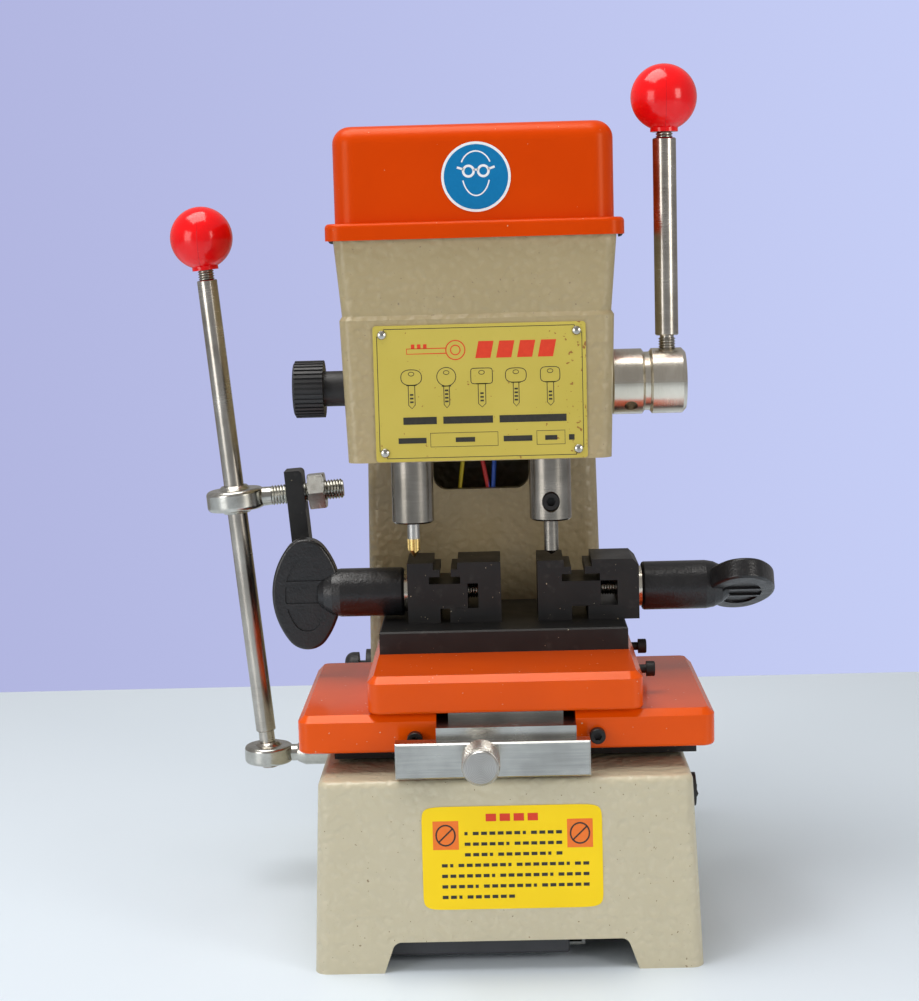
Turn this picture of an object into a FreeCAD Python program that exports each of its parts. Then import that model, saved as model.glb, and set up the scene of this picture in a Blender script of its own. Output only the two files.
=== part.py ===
import FreeCAD, Part
import math
import os
from FreeCAD import Vector

# Vertical key duplicating machine, battery powered. Millimetres, +X to the operator's right, +Y to the
# rear, +Z up. The origin is on the table, midway between the sides of the base.

# ---- driving dimensions -------------------------------------------------------------------------
BASE_HALF_BOTTOM, BASE_HALF_TOP, BASE_HEIGHT = 87.2, 83.5, 87.2
BASE_FRONT_BOTTOM, BASE_FRONT_TOP = -122.5, -119.6
BASE_BACK_BOTTOM, BASE_BACK_TOP = 128.0, 125.0
WALL = 6.0
ARCH_HEIGHT = 14.0
HEAD_X = -8.0
COLUMN_FRONT, COLUMN_BACK = 36.0, 108.0
COLUMN_HALF_BOTTOM, COLUMN_HALF_TOP = 61.0, 58.5
HEAD_BOTTOM, HEAD_TOP, HEAD_LEDGE = 223.0, 331.0, 289.0
HEAD_HALF_BOTTOM, HEAD_HALF_LEDGE, HEAD_HALF_TOP = 61.4, 63.6, 65.7
HEAD_FRONT = -60.0
HEAD_FLOOR, HEAD_ROOF = 8.0, 8.0
COVER_HALF, COVER_FRONT, COVER_BACK, COVER_TOP = 64.6, -58.0, 106.0, 377.6
SKIRT_HALF, SKIRT_BOTTOM, SKIRT_TOP = 68.8, 325.7, 333.5
SHEET = 1.6
BOLT_X, BOLT_FRONT, BOLT_BACK = 49.0, 45.0, 99.0
SPINDLE_Y, SPINDLE_SPACING, SPINDLE_R = -31.4, 33.0, 10.0
CUTTER_X, TRACER_X = HEAD_X - SPINDLE_SPACING, HEAD_X + SPINDLE_SPACING
SPINDLE_BOTTOM, TIP_Z = 191.0, 174.0
QUILL_BOTTOM, QUILL_TOP = 272.0, 308.0
POST_X, POST_R = (HEAD_X - 6.0, HEAD_X + 12.0), 4.0
MOTOR_Y, MOTOR_R, MOTOR_BOTTOM = 72.0, 26.0, 228.0
PULLEY_BOTTOM, PULLEY_HEIGHT = 337.0, 12.0
SPINDLE_PULLEY_R, MOTOR_PULLEY_R = 20.0, 13.5
FEED_Y, FEED_Z = -30.0, 256.0
FEED_MODULE, FEED_TEETH = 1.0, 20
HUB_R, HUB_START, HUB_END = 15.5, 55.2, 90.2
FEED_LEVER_X, FEED_LEVER_R = 81.8, 5.5
BALL_KNOB_R = 15.5
TABLE_X = 1.0
LOWER_HALF, LOWER_FRONT, LOWER_BACK = 94.0, -105.0, 14.0
LOWER_BOTTOM, LOWER_TOP = 96.6, 113.8
UPPER_HALF, UPPER_FRONT, UPPER_BACK = 62.0, -107.0, 25.2
UPPER_BOTTOM, UPPER_TOP = 114.5, 131.5
TONGUE_HALF, TONGUE_BOTTOM, TONGUE_TOP = 31.2, 101.0, 110.2
RAIL_Y, RAIL_TOP = -47.0, 96.4
BAR_HALF, BAR_FRONT, BAR_BACK, BAR_TOP = 58.7, -55.6, 25.2, 142.1
JAW_FRONT, JAW_BACK, JAW_TOP = -35.0, -2.0, 171.3
CLAMP_Y, CLAMP_Z, CLAMP_SCREW_R = -19.0, 155.3, 4.0
SLEEVE_R, WING_HALF_X, WING_HALF_Z, WING_THICK = 11.8, 16.7, 27.3, 10.0
LEVER_Y = 17.5
LOWER_BALL = Vector(-120.8, LEVER_Y, 66.3)
UPPER_BALL = Vector(-132.6, LEVER_Y, 198.0)
LEVER_KNOB_AT = 263.9
LEVER_R = 5.0
ARM_TILT = 4.5
RUN = 0.05
TOUCH = 0.3

X_AXIS, Y_AXIS, Z_AXIS = Vector(1, 0, 0), Vector(0, 1, 0), Vector(0, 0, 1)


# ---- shape helpers ------------------------------------------------------------------------------
def box(x, y, z):
    """A block between two X, two Y and two Z values."""
    return Part.makeBox(x[1] - x[0], y[1] - y[0], z[1] - z[0], Vector(x[0], y[0], z[0]))


def rod(radius, start, end, end_radius=None):
    """A cylinder, or a cone where end_radius is given, from one point to another."""
    start, end = Vector(*start), Vector(*end)
    along = end - start
    if end_radius is None or abs(end_radius - radius) < 1e-9:
        return Part.makeCylinder(radius, along.Length, start, along)
    return Part.makeCone(radius, end_radius, along.Length, start, along)


def turned(profile, origin, axis):
    """A solid of revolution: profile lists (distance along the axis, radius)."""
    axis = Vector(*axis).normalize()
    side = axis.cross(Z_AXIS) if abs(axis.z) < 0.9 else axis.cross(X_AXIS)
    side.normalize()
    origin = Vector(*origin)
    first, last = profile[0][0], profile[-1][0]
    points = [origin + axis * first] + [origin + axis * a + side * r for a, r in profile]
    points += [origin + axis * last, origin + axis * first]
    clean = [points[0]]
    for point in points[1:]:
        if (point - clean[-1]).Length > 1e-6:
            clean.append(point)
    return Part.Face(Part.makePolygon(clean)).revolve(origin, axis, 360)


def prism(points, along):
    """A flat outline swept straight along a vector."""
    return Part.Face(Part.makePolygon(points + [points[0]])).extrude(along)


def rounded_outline(x, y, z, radius):
    """A level rectangle with round corners."""
    (x0, x1), (y0, y1) = x, y
    wire = []
    corners = [(x1 - radius, y0 + radius, -90), (x1 - radius, y1 - radius, 0),
               (x0 + radius, y1 - radius, 90), (x0 + radius, y0 + radius, 180)]
    arcs = [Part.Arc(*[Vector(cx + radius * math.cos(math.radians(start + turn)),
                              cy + radius * math.sin(math.radians(start + turn)), z)
                       for turn in (0, 45, 90)]).toShape() for cx, cy, start in corners]
    for i, arc in enumerate(arcs):
        follower = arcs[(i + 1) % len(arcs)]
        wire += [arc, Part.makeLine(arc.Vertexes[-1].Point, follower.Vertexes[0].Point)]
    return Part.Wire(wire)


def tapered(sections, radius):
    """A block through level sections (z, half width, front, back) about the given centre plane."""
    outlines = [rounded_outline((cx - half, cx + half), (front, back), z, radius)
                for z, cx, half, front, back in sections]
    return Part.makeLoft(outlines, True, True)


def rounded_block(x, y, z, radius):
    """A block with round upright corners."""
    return Part.Face(rounded_outline(x, y, z[0], radius)).extrude(Vector(0, 0, z[1] - z[0]))


def edges_where(shape, test):
    """The shape's edges whose centre passes a test."""
    return [edge for edge in shape.Edges if test(edge.CenterOfMass)]


def join(shapes):
    """One solid out of shapes that overlap or share a face."""
    shapes = list(shapes)
    return shapes[0].multiFuse(shapes[1:]).removeSplitter() if len(shapes) > 1 else shapes[0]


def group(shapes):
    """Separate solids kept in one node."""
    return Part.makeCompound([solid for shape in shapes for solid in shape.Solids])


def hexagon(across_flats, start, along):
    """A six-sided bar that starts at a point and runs along a vector."""
    start, along = Vector(*start), Vector(*along)
    side = along.cross(Z_AXIS) if abs(along.z) < 0.9 * along.Length else along.cross(X_AXIS)
    side.normalize()
    other = Vector(along).normalize().cross(side)
    reach = across_flats / math.sqrt(3)
    points = [start + side * (reach * math.cos(math.radians(60 * i)))
              + other * (reach * math.sin(math.radians(60 * i))) for i in range(6)]
    return prism(points, along)


def cap_screw(size, length, seat, along):
    """A socket cap screw whose head's underside is at seat and whose shank runs along a direction."""
    seat, along = Vector(*seat), Vector(*along).normalize()
    head_r, socket = 0.88 * size, 0.83 * size
    top = seat - along * size
    head = turned([(0, head_r - 0.1 * size), (0.1 * size, head_r), (size, head_r)], top, along)
    shank = rod(size / 2, seat, seat + along * length)
    return join([head, shank]).cut(hexagon(socket, top - along, along * (0.55 * size + 1)))


def thread(radius, pitch, start, end):
    """A screw thread drawn as round ridges of the right pitch between two points."""
    start, end = Vector(*start), Vector(*end)
    count = int((end - start).Length / pitch)
    depth = 0.55 * pitch
    profile = [(0, radius - depth)]
    for i in range(count):
        profile += [((i + 0.35) * pitch, radius), ((i + 0.55) * pitch, radius),
                    ((i + 0.95) * pitch, radius - depth)]
    profile.append(((end - start).Length, radius - depth))
    return turned(profile, start, end - start)


def wire_tube(points, radius, bend):
    """A tube along straight runs joined by tangent arcs of one bend radius."""
    edges = []
    last = points[0]
    for before, corner, after in zip(points, points[1:], points[2:]):
        into, out = (corner - before).normalize(), (after - corner).normalize()
        turn = into.getAngle(out)
        setback = bend * math.tan(turn / 2)
        start, end = corner - into * setback, corner + out * setback
        inward = (out - into).normalize()
        middle = corner + inward * (bend / math.cos(turn / 2) - bend)
        edges += [Part.makeLine(last, start), Part.Arc(start, middle, end).toShape()]
        last = end
    edges.append(Part.makeLine(last, points[-1]))
    path = Part.Wire(edges)
    ring = Part.Wire(Part.makeCircle(radius, points[0], points[1] - points[0]))
    return path.makePipeShell([ring], True, False)


nodes = {}


def keep(name, shape):
    """Register a finished piece under its node name."""
    nodes[name] = shape
    return shape


# ---- base: hollow casting that stands on the table and holds the battery -----------------------------
def base_section(z, inset):
    share = z / BASE_HEIGHT
    half = BASE_HALF_BOTTOM + (BASE_HALF_TOP - BASE_HALF_BOTTOM) * share - inset
    front = BASE_FRONT_BOTTOM + (BASE_FRONT_TOP - BASE_FRONT_BOTTOM) * share + inset
    back = BASE_BACK_BOTTOM + (BASE_BACK_TOP - BASE_BACK_BOTTOM) * share - inset
    return z, 0.0, half, front, back


def column_bolts():
    for x in (HEAD_X - BOLT_X, HEAD_X + BOLT_X):
        for y in (BOLT_FRONT, BOLT_BACK):
            yield cap_screw(6, 20, (x, y, BASE_HEIGHT - WALL), Z_AXIS)
            yield cap_screw(6, 20, (x, y, HEAD_BOTTOM + HEAD_FLOOR), -Z_AXIS)


RAIL_BOLT_XS, RAIL_BOLT_SEAT = (-66.0, -22.0, 22.0, 66.0), 90.2


def rail_bolts():
    for x in RAIL_BOLT_XS:
        yield cap_screw(6, 12, (x, RAIL_Y, RAIL_BOLT_SEAT), -Z_AXIS)


frame_bolts = group(list(column_bolts()) + list(rail_bolts()))

ceiling = BASE_HEIGHT - WALL
base = tapered([base_section(0, 0), base_section(BASE_HEIGHT, 0)], 6)
base = base.makeFillet(3, edges_where(base, lambda c: c.z > BASE_HEIGHT - 0.1))
hollow = tapered([base_section(-1, WALL), base_section(ceiling, WALL)], 4)
arch_left, arch_right, arch_slant = -56.2, 58.6, 5.4
arch = prism([Vector(arch_left, -140, -1), Vector(arch_right, -140, -1),
              Vector(arch_right - arch_slant, -140, ARCH_HEIGHT),
              Vector(arch_left + arch_slant, -140, ARCH_HEIGHT)], Vector(0, 40, 0))
arch = arch.makeFillet(4, edges_where(arch, lambda c: c.z > ARCH_HEIGHT - 0.1 and abs(c.y + 120) < 1))
wire_hole = rod(9, (HEAD_X, MOTOR_Y, ceiling - 1), (HEAD_X, MOTOR_Y, BASE_HEIGHT + 1))
SWITCH_Y, SWITCH_Z, SWITCH_FACE = -95.0, 76.3 - 2.0, 86.4
switch_pocket = join([rod(7.6, (82.2, SWITCH_Y, SWITCH_Z), (SWITCH_FACE, SWITCH_Y, SWITCH_Z)),
                      rod(6.4, (70, SWITCH_Y, SWITCH_Z), (83, SWITCH_Y, SWITCH_Z))])
POST_XS, POST_Z, REAR_WALL = (46.0, 65.0), 52.0, 126.2


def binding_post(x):
    outer = turned([(0, 5.5), (4, 5.5), (4, 4.2), (6, 4.2), (6, 5.5), (15, 5.0), (16, 4.2)],
                   (x, REAR_WALL, POST_Z), Y_AXIS)
    return join([outer, rod(3, (x, REAR_WALL - 12, POST_Z), (x, REAR_WALL, POST_Z))])


binding_posts = group([binding_post(x) for x in POST_XS])
inlet_block = rounded_block((-52, -22), (117, 127.6), (40, 62), 1.0)
stud_hole = rod(4 + RUN, (-95, LEVER_Y, LOWER_BALL.z), (-70, LEVER_Y, LOWER_BALL.z))
base = base.cut(group([hollow, arch, wire_hole, switch_pocket, binding_posts, inlet_block, stud_hole,
                       frame_bolts]))
keep("base_casting", base)
keep("frame_bolts", frame_bolts)

# ---- battery, straps, charger board and rear terminals ----------------------------------------------
BATTERY_X, BATTERY_Y, BATTERY_Z = (-73.5, 27.5), (-112.0, -22.0), (4.0, 74.0)
battery = box(BATTERY_X, BATTERY_Y, BATTERY_Z)
battery = battery.makeFillet(1.5, battery.Edges)
battery_cap = box((BATTERY_X[1], 33.5), (-104, -30), (8, 70))
keep("battery", join([battery, battery_cap]))


def battery_strap(y):
    thick = 1.4
    left, right, low = BATTERY_X[0] - 0.1, 33.6, BATTERY_Z[0] - 0.1
    outside = box((left - thick, right + thick), y, (low - thick, ceiling))
    inside = box((left, right), (y[0] - 1, y[1] + 1), (low, ceiling + 1))
    lug = box((right + thick, right + thick + 12), y, (ceiling - thick, ceiling))
    return join([outside.cut(inside), lug])


keep("battery_straps", group([battery_strap((-97, -82)), battery_strap((-52, -37))]))

board_z = 58.0
board = box((44, 76), (-30, 62), (board_z, board_z + 1.6))
standoffs = [rod(3, (x, y, board_z + 1.6), (x, y, ceiling)) for x in (48, 71.5) for y in (-26, 58)]
transformer = box((47, 73), (-16, 14), (board_z - 24, board_z))
capacitor = rod(6, (55, 32, board_z), (55, 32, board_z - 22))
relay = box((62, 74), (24, 44), (board_z - 14, board_z))
keep("charger_board", join([board, transformer, capacitor, relay] + standoffs))

inlet_recess = rounded_block((-46, -28), (121, 130), (46, 56), 1.0)
inlet_pins = [rod(1.2, (x, 120, 51), (x, 127, 51)) for x in (-41, -33)]
keep("rear_terminals", group([binding_posts, join([inlet_block.cut(inlet_recess)] + inlet_pins)]))

# ---- round rocker switch in the right side of the base ------------------------------------------------
rocker_slot = box((74, 90), (SWITCH_Y - 3.5, SWITCH_Y + 3.5), (SWITCH_Z - 5.1, SWITCH_Z + 5.1))
keep("switch_housing", switch_pocket.cut(rocker_slot))
ROCKER_X = 83.0
barrel = rod(4.8, (ROCKER_X, SWITCH_Y - 3.2, SWITCH_Z), (ROCKER_X, SWITCH_Y + 3.2, SWITCH_Z))
roof = prism([Vector(ROCKER_X - 7, SWITCH_Y - 4, SWITCH_Z - 6), Vector(88.2, SWITCH_Y - 4, SWITCH_Z - 6),
              Vector(86.9, SWITCH_Y - 4, SWITCH_Z), Vector(88.2, SWITCH_Y - 4, SWITCH_Z + 6),
              Vector(ROCKER_X - 7, SWITCH_Y - 4, SWITCH_Z + 6)], Vector(0, 8, 0))
rocker = barrel.common(roof)
rocker.rotate(Vector(ROCKER_X, SWITCH_Y, SWITCH_Z), Y_AXIS, -8)
keep("switch_rocker", rocker)


# ---- column, bolted to the base and carrying the head --------------------------------------------------
def column_section(z, inset):
    share = (z - BASE_HEIGHT) / (HEAD_BOTTOM - BASE_HEIGHT)
    half = COLUMN_HALF_BOTTOM + (COLUMN_HALF_TOP - COLUMN_HALF_BOTTOM) * share - inset
    return z, HEAD_X, half, COLUMN_FRONT + inset, COLUMN_BACK - inset


column = tapered([column_section(BASE_HEIGHT, 0), column_section(HEAD_BOTTOM, 0)], 7)
core = tapered([column_section(BASE_HEIGHT - 1, WALL), column_section(HEAD_BOTTOM + 1, WALL)], 2)
boss_side = 15.0
bosses = [box((x0, x0 + boss_side), (y0, y0 + boss_side), (BASE_HEIGHT - 2, HEAD_BOTTOM + 2))
          for x0 in (HEAD_X - COLUMN_HALF_TOP, HEAD_X + COLUMN_HALF_TOP - boss_side)
          for y0 in (COLUMN_FRONT, COLUMN_BACK - boss_side)]
core = core.cut(group(bosses))
WINDOW_X, WINDOW_Z = (-33.0, 16.0), (198.0, 219.0)
window = box(WINDOW_X, (COLUMN_FRONT - 1, COLUMN_FRONT + WALL + 1), WINDOW_Z)
window = window.makeFillet(7, [e for e in window.Edges if abs(e.tangentAt(e.FirstParameter).y) > 0.9])
BUTTON_Y, BUTTON_Z, COLUMN_SIDE = 60.0, 99.5, -68.8
BUTTON_NUT_SEAT = COLUMN_SIDE - 0.3
button_hole = rod(8, (COLUMN_SIDE - 2, BUTTON_Y, BUTTON_Z), (COLUMN_SIDE + WALL + 3, BUTTON_Y, BUTTON_Z))
column = column.cut(group([core, window, button_hole, frame_bolts]))
keep("column_casting", column)


def button_rod(radius, start, end):
    """A round bar on the button's axis, between two distances outward from the column's side."""
    return rod(radius, (COLUMN_SIDE - start, BUTTON_Y, BUTTON_Z), (COLUMN_SIDE - end, BUTTON_Y, BUTTON_Z))


nut_seat, nut_face = COLUMN_SIDE - BUTTON_NUT_SEAT, 3.2
button_body = join([button_rod(11, nut_face, nut_seat), button_rod(7.9, nut_seat, -22)])
keep("start_button_housing", button_body.cut(button_rod(5.1, nut_face + 1, -14)))
button_cap = button_rod(9.5, 14.6, 7.2)
button_cap = button_cap.makeFillet(4.5, edges_where(button_cap, lambda c: c.x < COLUMN_SIDE - 14))
keep("start_button", join([button_rod(5.0, 8, -8), button_cap]))

# ---- motor, its pulley and the wires down the column ---------------------------------------------------
motor_top = HEAD_TOP - HEAD_ROOF
motor = turned([(0, MOTOR_R - 2), (2, MOTOR_R), (motor_top - MOTOR_BOTTOM, MOTOR_R),
                (motor_top - MOTOR_BOTTOM, 10), (motor_top - MOTOR_BOTTOM + HEAD_ROOF, 10)],
               (HEAD_X, MOTOR_Y, MOTOR_BOTTOM), Z_AXIS)
SHAFT_R = 4.0
motor = motor.cut(rod(SHAFT_R + RUN, (HEAD_X, MOTOR_Y, 300), (HEAD_X, MOTOR_Y, 340)))
keep("motor", motor)


def pulley(x, y, seat_r):
    flange = seat_r + 2.5
    return turned([(0, flange), (1.5, flange), (2, seat_r), (PULLEY_HEIGHT - 2, seat_r),
                   (PULLEY_HEIGHT - 1.5, flange), (PULLEY_HEIGHT, flange)],
                  (x, y, PULLEY_BOTTOM), Z_AXIS)


motor_shaft = rod(SHAFT_R, (HEAD_X, MOTOR_Y, 302), (HEAD_X, MOTOR_Y, PULLEY_BOTTOM + PULLEY_HEIGHT + 1))
keep("motor_pulley", join([pulley(HEAD_X, MOTOR_Y, MOTOR_PULLEY_R), motor_shaft]))


def motor_wire(offset, sway):
    points = [Vector(HEAD_X + offset, 58, MOTOR_BOTTOM), Vector(HEAD_X + offset, 54, 218),
              Vector(HEAD_X + offset + sway, 52, 196), Vector(HEAD_X + offset + 0.5 * sway, 62, 150),
              Vector(HEAD_X + 0.45 * offset, MOTOR_Y, 104), Vector(HEAD_X + 0.45 * offset, MOTOR_Y, 66),
              Vector(30 + 0.2 * offset, 52 + offset, 58.8), Vector(44, 46 + offset, 58.8)]
    return wire_tube(points, 1.1, 5)


keep("motor_wires", group([motor_wire(-9.0, -3.0), motor_wire(-1.0, 4.0), motor_wire(7.0, -1.5)]))

# ---- head casting, over the column and out over the work -------------------------------------------------
LEDGE_STEP = 1.2
head = tapered([(HEAD_BOTTOM, HEAD_X, HEAD_HALF_BOTTOM, HEAD_FRONT, COLUMN_BACK),
                (HEAD_LEDGE, HEAD_X, HEAD_HALF_LEDGE, HEAD_FRONT, COLUMN_BACK),
                (HEAD_LEDGE + 2, HEAD_X, HEAD_HALF_LEDGE - LEDGE_STEP, HEAD_FRONT + LEDGE_STEP, COLUMN_BACK),
                (HEAD_TOP, HEAD_X, HEAD_HALF_TOP, HEAD_FRONT - 1, COLUMN_BACK)], 6)
floor_z, roof_z = HEAD_BOTTOM + HEAD_FLOOR, HEAD_TOP - HEAD_ROOF
cavity = tapered([(floor_z, HEAD_X, HEAD_HALF_BOTTOM - WALL + 0.2, HEAD_FRONT + WALL, COLUMN_BACK - WALL),
                  (roof_z, HEAD_X, HEAD_HALF_LEDGE - WALL, HEAD_FRONT + WALL, COLUMN_BACK - WALL)], 4)
motor_opening = rod(30, (HEAD_X, MOTOR_Y, HEAD_BOTTOM - 1), (HEAD_X, MOTOR_Y, floor_z + 1))
BUSH_R = 13.0
spindle_holes = [rod(BUSH_R, (x, SPINDLE_Y, HEAD_BOTTOM - 1), (x, SPINDLE_Y, floor_z + 1))
                 for x in (CUTTER_X, TRACER_X)]
pulley_hole = rod(BUSH_R, (CUTTER_X, SPINDLE_Y, roof_z - 1), (CUTTER_X, SPINDLE_Y, HEAD_TOP + 1))
motor_boss_hole = rod(10, (HEAD_X, MOTOR_Y, roof_z - 1), (HEAD_X, MOTOR_Y, HEAD_TOP + 1))
FEED_BUSH_R, FEED_SHAFT_R = 9.0, 6.0
feed_hole = rod(FEED_BUSH_R, (HEAD_X + 52, FEED_Y, FEED_Z), (HEAD_X + 70, FEED_Y, FEED_Z))
LOCK_R = 4.0
lock_hole = rod(LOCK_R + RUN, (HEAD_X - 70, FEED_Y, FEED_Z), (HEAD_X - 50, FEED_Y, FEED_Z))
guide_posts = group([rod(POST_R, (x, SPINDLE_Y, HEAD_BOTTOM + 3), (x, SPINDLE_Y, HEAD_TOP))
                     for x in POST_X])
PLATE_X, PLATE_Z, PLATE_THICK = (-56.0, 42.0), (223.4, 286.4), 0.8
RIVET_INSET = 4.2


def drive_rivet(x, z):
    head_shape = turned([(0, 2.1), (0.5, 2.1), (1.0, 1.7), (1.4, 0.9), (1.5, 0.3)],
                        (x, HEAD_FRONT - PLATE_THICK, z), -Y_AXIS)
    return join([head_shape, rod(1.2, (x, HEAD_FRONT - PLATE_THICK, z), (x, HEAD_FRONT + 3, z))])


plate_rivets = group([drive_rivet(x, z) for x in (PLATE_X[0] + RIVET_INSET, PLATE_X[1] - RIVET_INSET)
                      for z in (PLATE_Z[0] + RIVET_INSET, PLATE_Z[1] - RIVET_INSET)])
COVER_SCREW_Y = (-10.0, 70.0)
cover_screws = group([turned([(0, 2.6), (0.7, 3.6), (1.6, 4.0), (2.4, 4.0), (2.4, 2.0), (13, 2.0)],
                             (HEAD_X + side * (SKIRT_HALF + 2.4), y, 328.4), (-side, 0, 0))
                      for side in (-1, 1) for y in COVER_SCREW_Y])
head = head.cut(group([cavity, motor_opening, pulley_hole, motor_boss_hole, feed_hole, lock_hole,
                       guide_posts, plate_rivets, cover_screws, frame_bolts] + spindle_holes))
keep("head_casting", head)
keep("guide_posts", guide_posts)
plate = box(PLATE_X, (HEAD_FRONT - PLATE_THICK, HEAD_FRONT), PLATE_Z)
plate = plate.makeFillet(1.5, [e for e in plate.Edges if abs(e.tangentAt(e.FirstParameter).y) > 0.9])
keep("name_plate", plate.cut(plate_rivets))
keep("plate_rivets", plate_rivets)

# ---- bronze bushes in the head ---------------------------------------------------------------------------
HUB_SLEEVE_R = 9.9
spindle_bushes = [rod(BUSH_R, (x, SPINDLE_Y, HEAD_BOTTOM), (x, SPINDLE_Y, floor_z)).cut(
    rod(SPINDLE_R + RUN, (x, SPINDLE_Y, HEAD_BOTTOM - 1), (x, SPINDLE_Y, floor_z + 1)))
    for x in (CUTTER_X, TRACER_X)]
pulley_bush = rod(BUSH_R, (CUTTER_X, SPINDLE_Y, roof_z), (CUTTER_X, SPINDLE_Y, HEAD_TOP)).cut(
    rod(HUB_SLEEVE_R + RUN, (CUTTER_X, SPINDLE_Y, roof_z - 1), (CUTTER_X, SPINDLE_Y, HEAD_TOP + 1)))
feed_bush = rod(FEED_BUSH_R, (HEAD_X + 52, FEED_Y, FEED_Z), (HUB_START - 0.9, FEED_Y, FEED_Z)).cut(
    rod(FEED_SHAFT_R + RUN, (HEAD_X + 50, FEED_Y, FEED_Z), (HEAD_X + 70, FEED_Y, FEED_Z)))
keep("bearing_bushes", group(spindle_bushes + [pulley_bush, feed_bush]))

# ---- orange cover over the belt drive --------------------------------------------------------------------
shell = rounded_block((HEAD_X - COVER_HALF, HEAD_X + COVER_HALF), (COVER_FRONT, COVER_BACK),
                      (HEAD_TOP, COVER_TOP), 10)
shell = shell.makeFillet(8, edges_where(shell, lambda c: c.z > COVER_TOP - 0.1))
skirt_front, skirt_back = HEAD_FRONT - 3.6, COLUMN_BACK + 3.6
skirt = rounded_block((HEAD_X - SKIRT_HALF, HEAD_X + SKIRT_HALF), (skirt_front, skirt_back),
                      (SKIRT_BOTTOM, SKIRT_TOP), 8)
skirt = skirt.makeFillet(2, edges_where(skirt, lambda c: c.z > SKIRT_TOP - 0.1))
shell_room = rounded_block((HEAD_X - COVER_HALF + SHEET, HEAD_X + COVER_HALF - SHEET),
                           (COVER_FRONT + SHEET, COVER_BACK - SHEET),
                           (HEAD_TOP - 1, COVER_TOP - SHEET), 8.4)
shell_room = shell_room.makeFillet(6.4, edges_where(shell_room, lambda c: c.z > COVER_TOP - SHEET - 0.1))
skirt_room = rounded_block((HEAD_X - SKIRT_HALF + SHEET, HEAD_X + SKIRT_HALF - SHEET),
                           (skirt_front + SHEET, skirt_back - SHEET), (SKIRT_BOTTOM - 1, HEAD_TOP), 6.4)
cover = join([shell, skirt]).cut(group([shell_room, skirt_room, cover_screws]))
keep("top_cover", cover)
keep("cover_screws", cover_screws)

# ---- sliding quill: carrier, bearings, tracer side and springs -------------------------------------------
BEARING_R, BEARING_W = 16.0, 7.0
carrier = box((HEAD_X - 52, HEAD_X + 52), (SPINDLE_Y - 19, SPINDLE_Y + 19), (QUILL_BOTTOM, QUILL_TOP))
carrier = carrier.makeFillet(3, edges_where(carrier, lambda c: abs(abs(c.x - HEAD_X) - 52) < 0.1
                                            and abs(abs(c.y - SPINDLE_Y) - 19) < 0.1))
lock_tail = box((HEAD_X - 52, HEAD_X - 46), (FEED_Y - 8, FEED_Y + 8), (240, QUILL_BOTTOM))
RACK_X = (36.5, 43.8)
pitch_r = FEED_MODULE * FEED_TEETH / 2
rack_line = FEED_Y - pitch_r
rack_root = rack_line - 1.25 * FEED_MODULE
RACK_BOTTOM = 240.0
rack = box(RACK_X, (-49, rack_root), (RACK_BOTTOM, QUILL_BOTTOM))


def rack_tooth(z):
    half_root = math.pi * FEED_MODULE / 4 + 1.25 * FEED_MODULE * math.tan(math.radians(20)) - 0.12
    half_tip = math.pi * FEED_MODULE / 4 - FEED_MODULE * math.tan(math.radians(20)) - 0.12
    tip = rack_line + FEED_MODULE
    outline = [Vector(RACK_X[0], rack_root - 0.5, z - half_root), Vector(RACK_X[0], rack_root, z - half_root),
               Vector(RACK_X[0], tip, z - half_tip), Vector(RACK_X[0], tip, z + half_tip),
               Vector(RACK_X[0], rack_root, z + half_root), Vector(RACK_X[0], rack_root - 0.5, z + half_root)]
    return prism(outline, Vector(RACK_X[1] - RACK_X[0], 0, 0))


tooth_pitch = math.pi * FEED_MODULE
rack_teeth = [rack_tooth(FEED_Z + i * tooth_pitch) for i in range(-4, 5)]
bearing_seats = [rod(BEARING_R, (CUTTER_X, SPINDLE_Y, z), (CUTTER_X, SPINDLE_Y, z + BEARING_W))
                 for z in (QUILL_BOTTOM, QUILL_TOP - BEARING_W)]
quill_bore = rod(12.5, (CUTTER_X, SPINDLE_Y, QUILL_BOTTOM), (CUTTER_X, SPINDLE_Y, QUILL_TOP))
post_bores = [rod(POST_R + RUN, (x, SPINDLE_Y, QUILL_BOTTOM - 1), (x, SPINDLE_Y, QUILL_TOP + 1))
              for x in POST_X]
tracer_bore = rod(SPINDLE_R, (TRACER_X, SPINDLE_Y, QUILL_BOTTOM - 1), (TRACER_X, SPINDLE_Y, QUILL_TOP + 1))
carrier = join([carrier, lock_tail, rack] + rack_teeth)
carrier = carrier.cut(group(bearing_seats + [quill_bore, tracer_bore] + post_bores))
keep("quill_carrier", carrier)
keep("spindle_bearings", group([seat.cut(rod(SPINDLE_R + 0.02, (CUTTER_X, SPINDLE_Y, QUILL_BOTTOM - 1),
                                             (CUTTER_X, SPINDLE_Y, QUILL_TOP + 1)))
                                for seat in bearing_seats]))
PIN_R, PIN_DEPTH = 3.5, 26.0
tracer = turned([(0, SPINDLE_R - 0.8), (0.8, SPINDLE_R), (QUILL_TOP - SPINDLE_BOTTOM, SPINDLE_R)],
                (TRACER_X, SPINDLE_Y, SPINDLE_BOTTOM), Z_AXIS)
SET_SCREW_Z = 200.4
set_screw = rod(4, (TRACER_X, SPINDLE_Y - SPINDLE_R + 0.6, SET_SCREW_Z),
                (TRACER_X, SPINDLE_Y - PIN_R, SET_SCREW_Z))
set_screw = set_screw.cut(hexagon(4, (TRACER_X, SPINDLE_Y - SPINDLE_R - 1, SET_SCREW_Z), (0, 4.6, 0)))
set_hole = rod(4, (TRACER_X, SPINDLE_Y - SPINDLE_R - 1, SET_SCREW_Z), (TRACER_X, SPINDLE_Y, SET_SCREW_Z))
set_mouth = rod(5.2, (TRACER_X, SPINDLE_Y - SPINDLE_R - 0.2, SET_SCREW_Z),
                (TRACER_X, SPINDLE_Y - SPINDLE_R + 1.2, SET_SCREW_Z), 4)
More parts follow.
